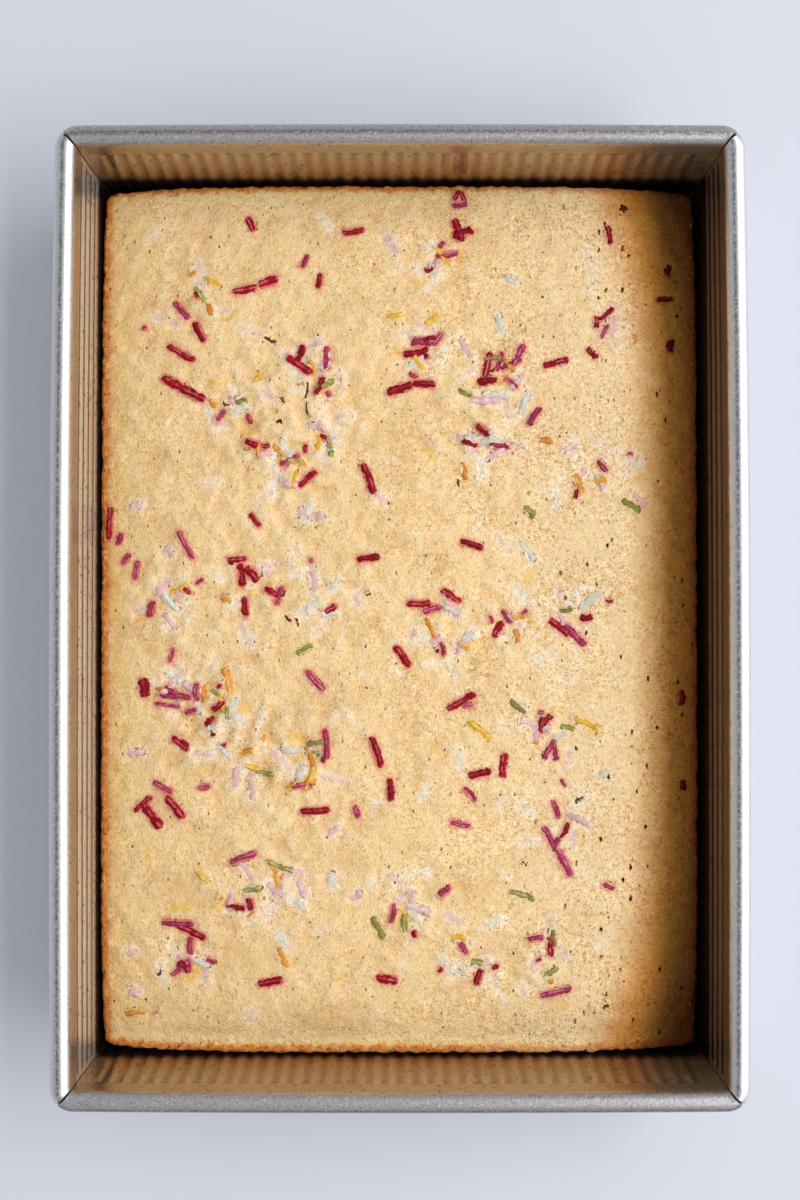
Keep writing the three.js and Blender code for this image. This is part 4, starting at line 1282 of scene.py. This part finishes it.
# what all sprinkles share: a body with a painted highlight line along its back, painted shade on its flanks
# and near the cake's right side, crumb that clings to its flanks, and grain
def makeSkinGroup():
    inputs = ([("Vector", "Vector")] + [(name, "Color") for name in ("Body", "Dark", "Crumb", "Line")]
              + [(name, "Float") for name in ("Shade", "Upness", "Across", "Browned")])
    steps, given, result = newGroup("sprinkleSkin", inputs, (("Color", "Color"), ("Normal", "Vector")))
    look = skinLook
    times, mix, remap = steps.times, steps.mix, steps.remap
    tone = mix(remap(given["Shade"], *look["shade"]), given["Dark"], given["Body"])
    tone = mix(steps.spots(*look["darkSpots"]), tone, given["Dark"])
    # painted shade on the flanks
    tone = mix(remap(steps.math("ABSOLUTE", given["Across"]), *look["flank"]), tone, given["Dark"])
    # a painted highlight line along the back
    fromLine = steps.math("ABSOLUTE", steps.math("SUBTRACT", given["Across"], look["lineAt"]))
    line = times(remap(fromLine, *look["lineReach"]), steps.spots(*look["lineGaps"]))
    tone = mix(times(line, remap(given["Shade"], *look["lineShade"])), tone, given["Line"])
    moved = steps.timesPlus(steps.noise(look["crumbNoise"]), look["crumbWander"], -look["crumbWander"] / 2)
    tone = mix(remap(steps.math("ADD", given["Upness"], moved), *look["crumbLevels"]), tone, given["Crumb"])
    # painted shade near the cake's right side
    tone = steps.tint(given["Browned"], tone, look["rightShade"])
    grain = steps.grain(*look["grain"])
    steps.fill(result, {"Color": tone, "Normal": grain["Normal"]})
    return steps.tree


sprinkleSkin = makeSkinGroup()


def makeSprinkleMaterial(kind):
    material, steps, shader = newPattern("sprinkle" + kind.capitalize())
    inputs = {name: kinds[kind][name.lower()] for name in ("Body", "Dark", "Line")}
    inputs.update({name: steps.attribute(name.lower()) for name in ("Shade", "Upness", "Across")})
    # painted shade near the cake's right side
    inputs["Browned"] = steps.remap(steps.attribute("toRight"), *skinLook["rightShadeFrom"])
    inputs.update({"Crumb": skinLook["crumb"], "Vector": steps.point})
    skin = steps.add("Group", inputs, node_tree=sprinkleSkin).outputs
    steps.fill(shader, {"Base Color": skin["Color"], "Normal": skin["Normal"],
                        "Roughness": skinLook["roughness"], "Specular IOR Level": skinLook["gloss"]})
    return material


allSprinkles = sprinkleList()
makeCake(allSprinkles, meltedList(), makeCrumbMaterial())
print("cake made")
for kind in kinds:
    makeSprinkles(kind, [rod for rod in allSprinkles if rod["kind"] == kind], makeSprinkleMaterial(kind))
print("sprinkles made:", len(allSprinkles))


# Floor, light and camera

studio = {
    "floor": colour(217, 221, 231),
    "floorFar": 3.0,         # half the floor's width
    "floorRoughness": 0.45,
    "lampDistance": 3.0,
    # elevation in degrees, width, length and power
    "keyLight": (55.0, 0.92, 4.2, 60.0),
    "fillLight": (16.0, 1.4, 3.6, 26.0),
    "surround": (0.95, 0.97, 1.0, 1.0),
    "surroundStrength": 0.52,
}

cameraPlace = {
    "height": 553.7,         # above the surface that the tin stands on
    "y": -0.7,
    "tiltDegrees": 0.75,
    "lens": 42.06,
    "sensorHeight": 36.0,
}


def makeStudio():
    mesh = bpy.data.meshes.new("floor")
    far = studio["floorFar"]
    mesh.from_pydata([(-far, -far, 0), (far, -far, 0), (far, far, 0), (-far, far, 0)], [], [(0, 1, 2, 3)])
    floor = bpy.data.objects.new("floor", mesh)
    bpy.context.scene.collection.objects.link(floor)
    material, steps, shader = newMaterial("paleFloor")
    steps.fill(shader, {"Base Color": studio["floor"], "Roughness": studio["floorRoughness"]})
    mesh.materials.append(material)

    for name in ("keyLight", "fillLight"):
        elevation, wide, long, watts = studio[name]
        lamp = bpy.data.lights.new(name, "AREA")
        lamp.shape = "RECTANGLE"
        lamp.size = wide
        lamp.size_y = long
        lamp.energy = watts
        light = bpy.data.objects.new(name, lamp)
        turn = math.radians(elevation)
        light.location = (studio["lampDistance"] * math.cos(turn), 0, studio["lampDistance"] * math.sin(turn))
        light.rotation_euler = (0, math.pi / 2 - turn, 0)
        bpy.context.scene.collection.objects.link(light)

    world = bpy.data.worlds.new("studioAir")
    world.use_nodes = True
    background = world.node_tree.nodes["Background"]
    background.inputs["Color"].default_value = studio["surround"]
    background.inputs["Strength"].default_value = studio["surroundStrength"]
    bpy.context.scene.world = world


def makeCamera():
    lens = bpy.data.cameras.new("camera")
    lens.sensor_fit = "VERTICAL"
    lens.sensor_height = cameraPlace["sensorHeight"]
    lens.lens = cameraPlace["lens"]
    camera = bpy.data.objects.new("camera", lens)
    camera.location = (0, cameraPlace["y"] * mm, cameraPlace["height"] * mm)
    camera.rotation_euler = (math.radians(cameraPlace["tiltDegrees"]), 0, 0)
    bpy.context.scene.collection.objects.link(camera)
    bpy.context.scene.camera = camera


makeStudio()
makeCamera()
bpy.context.scene.view_settings.view_transform = "Standard"
print("studio made")
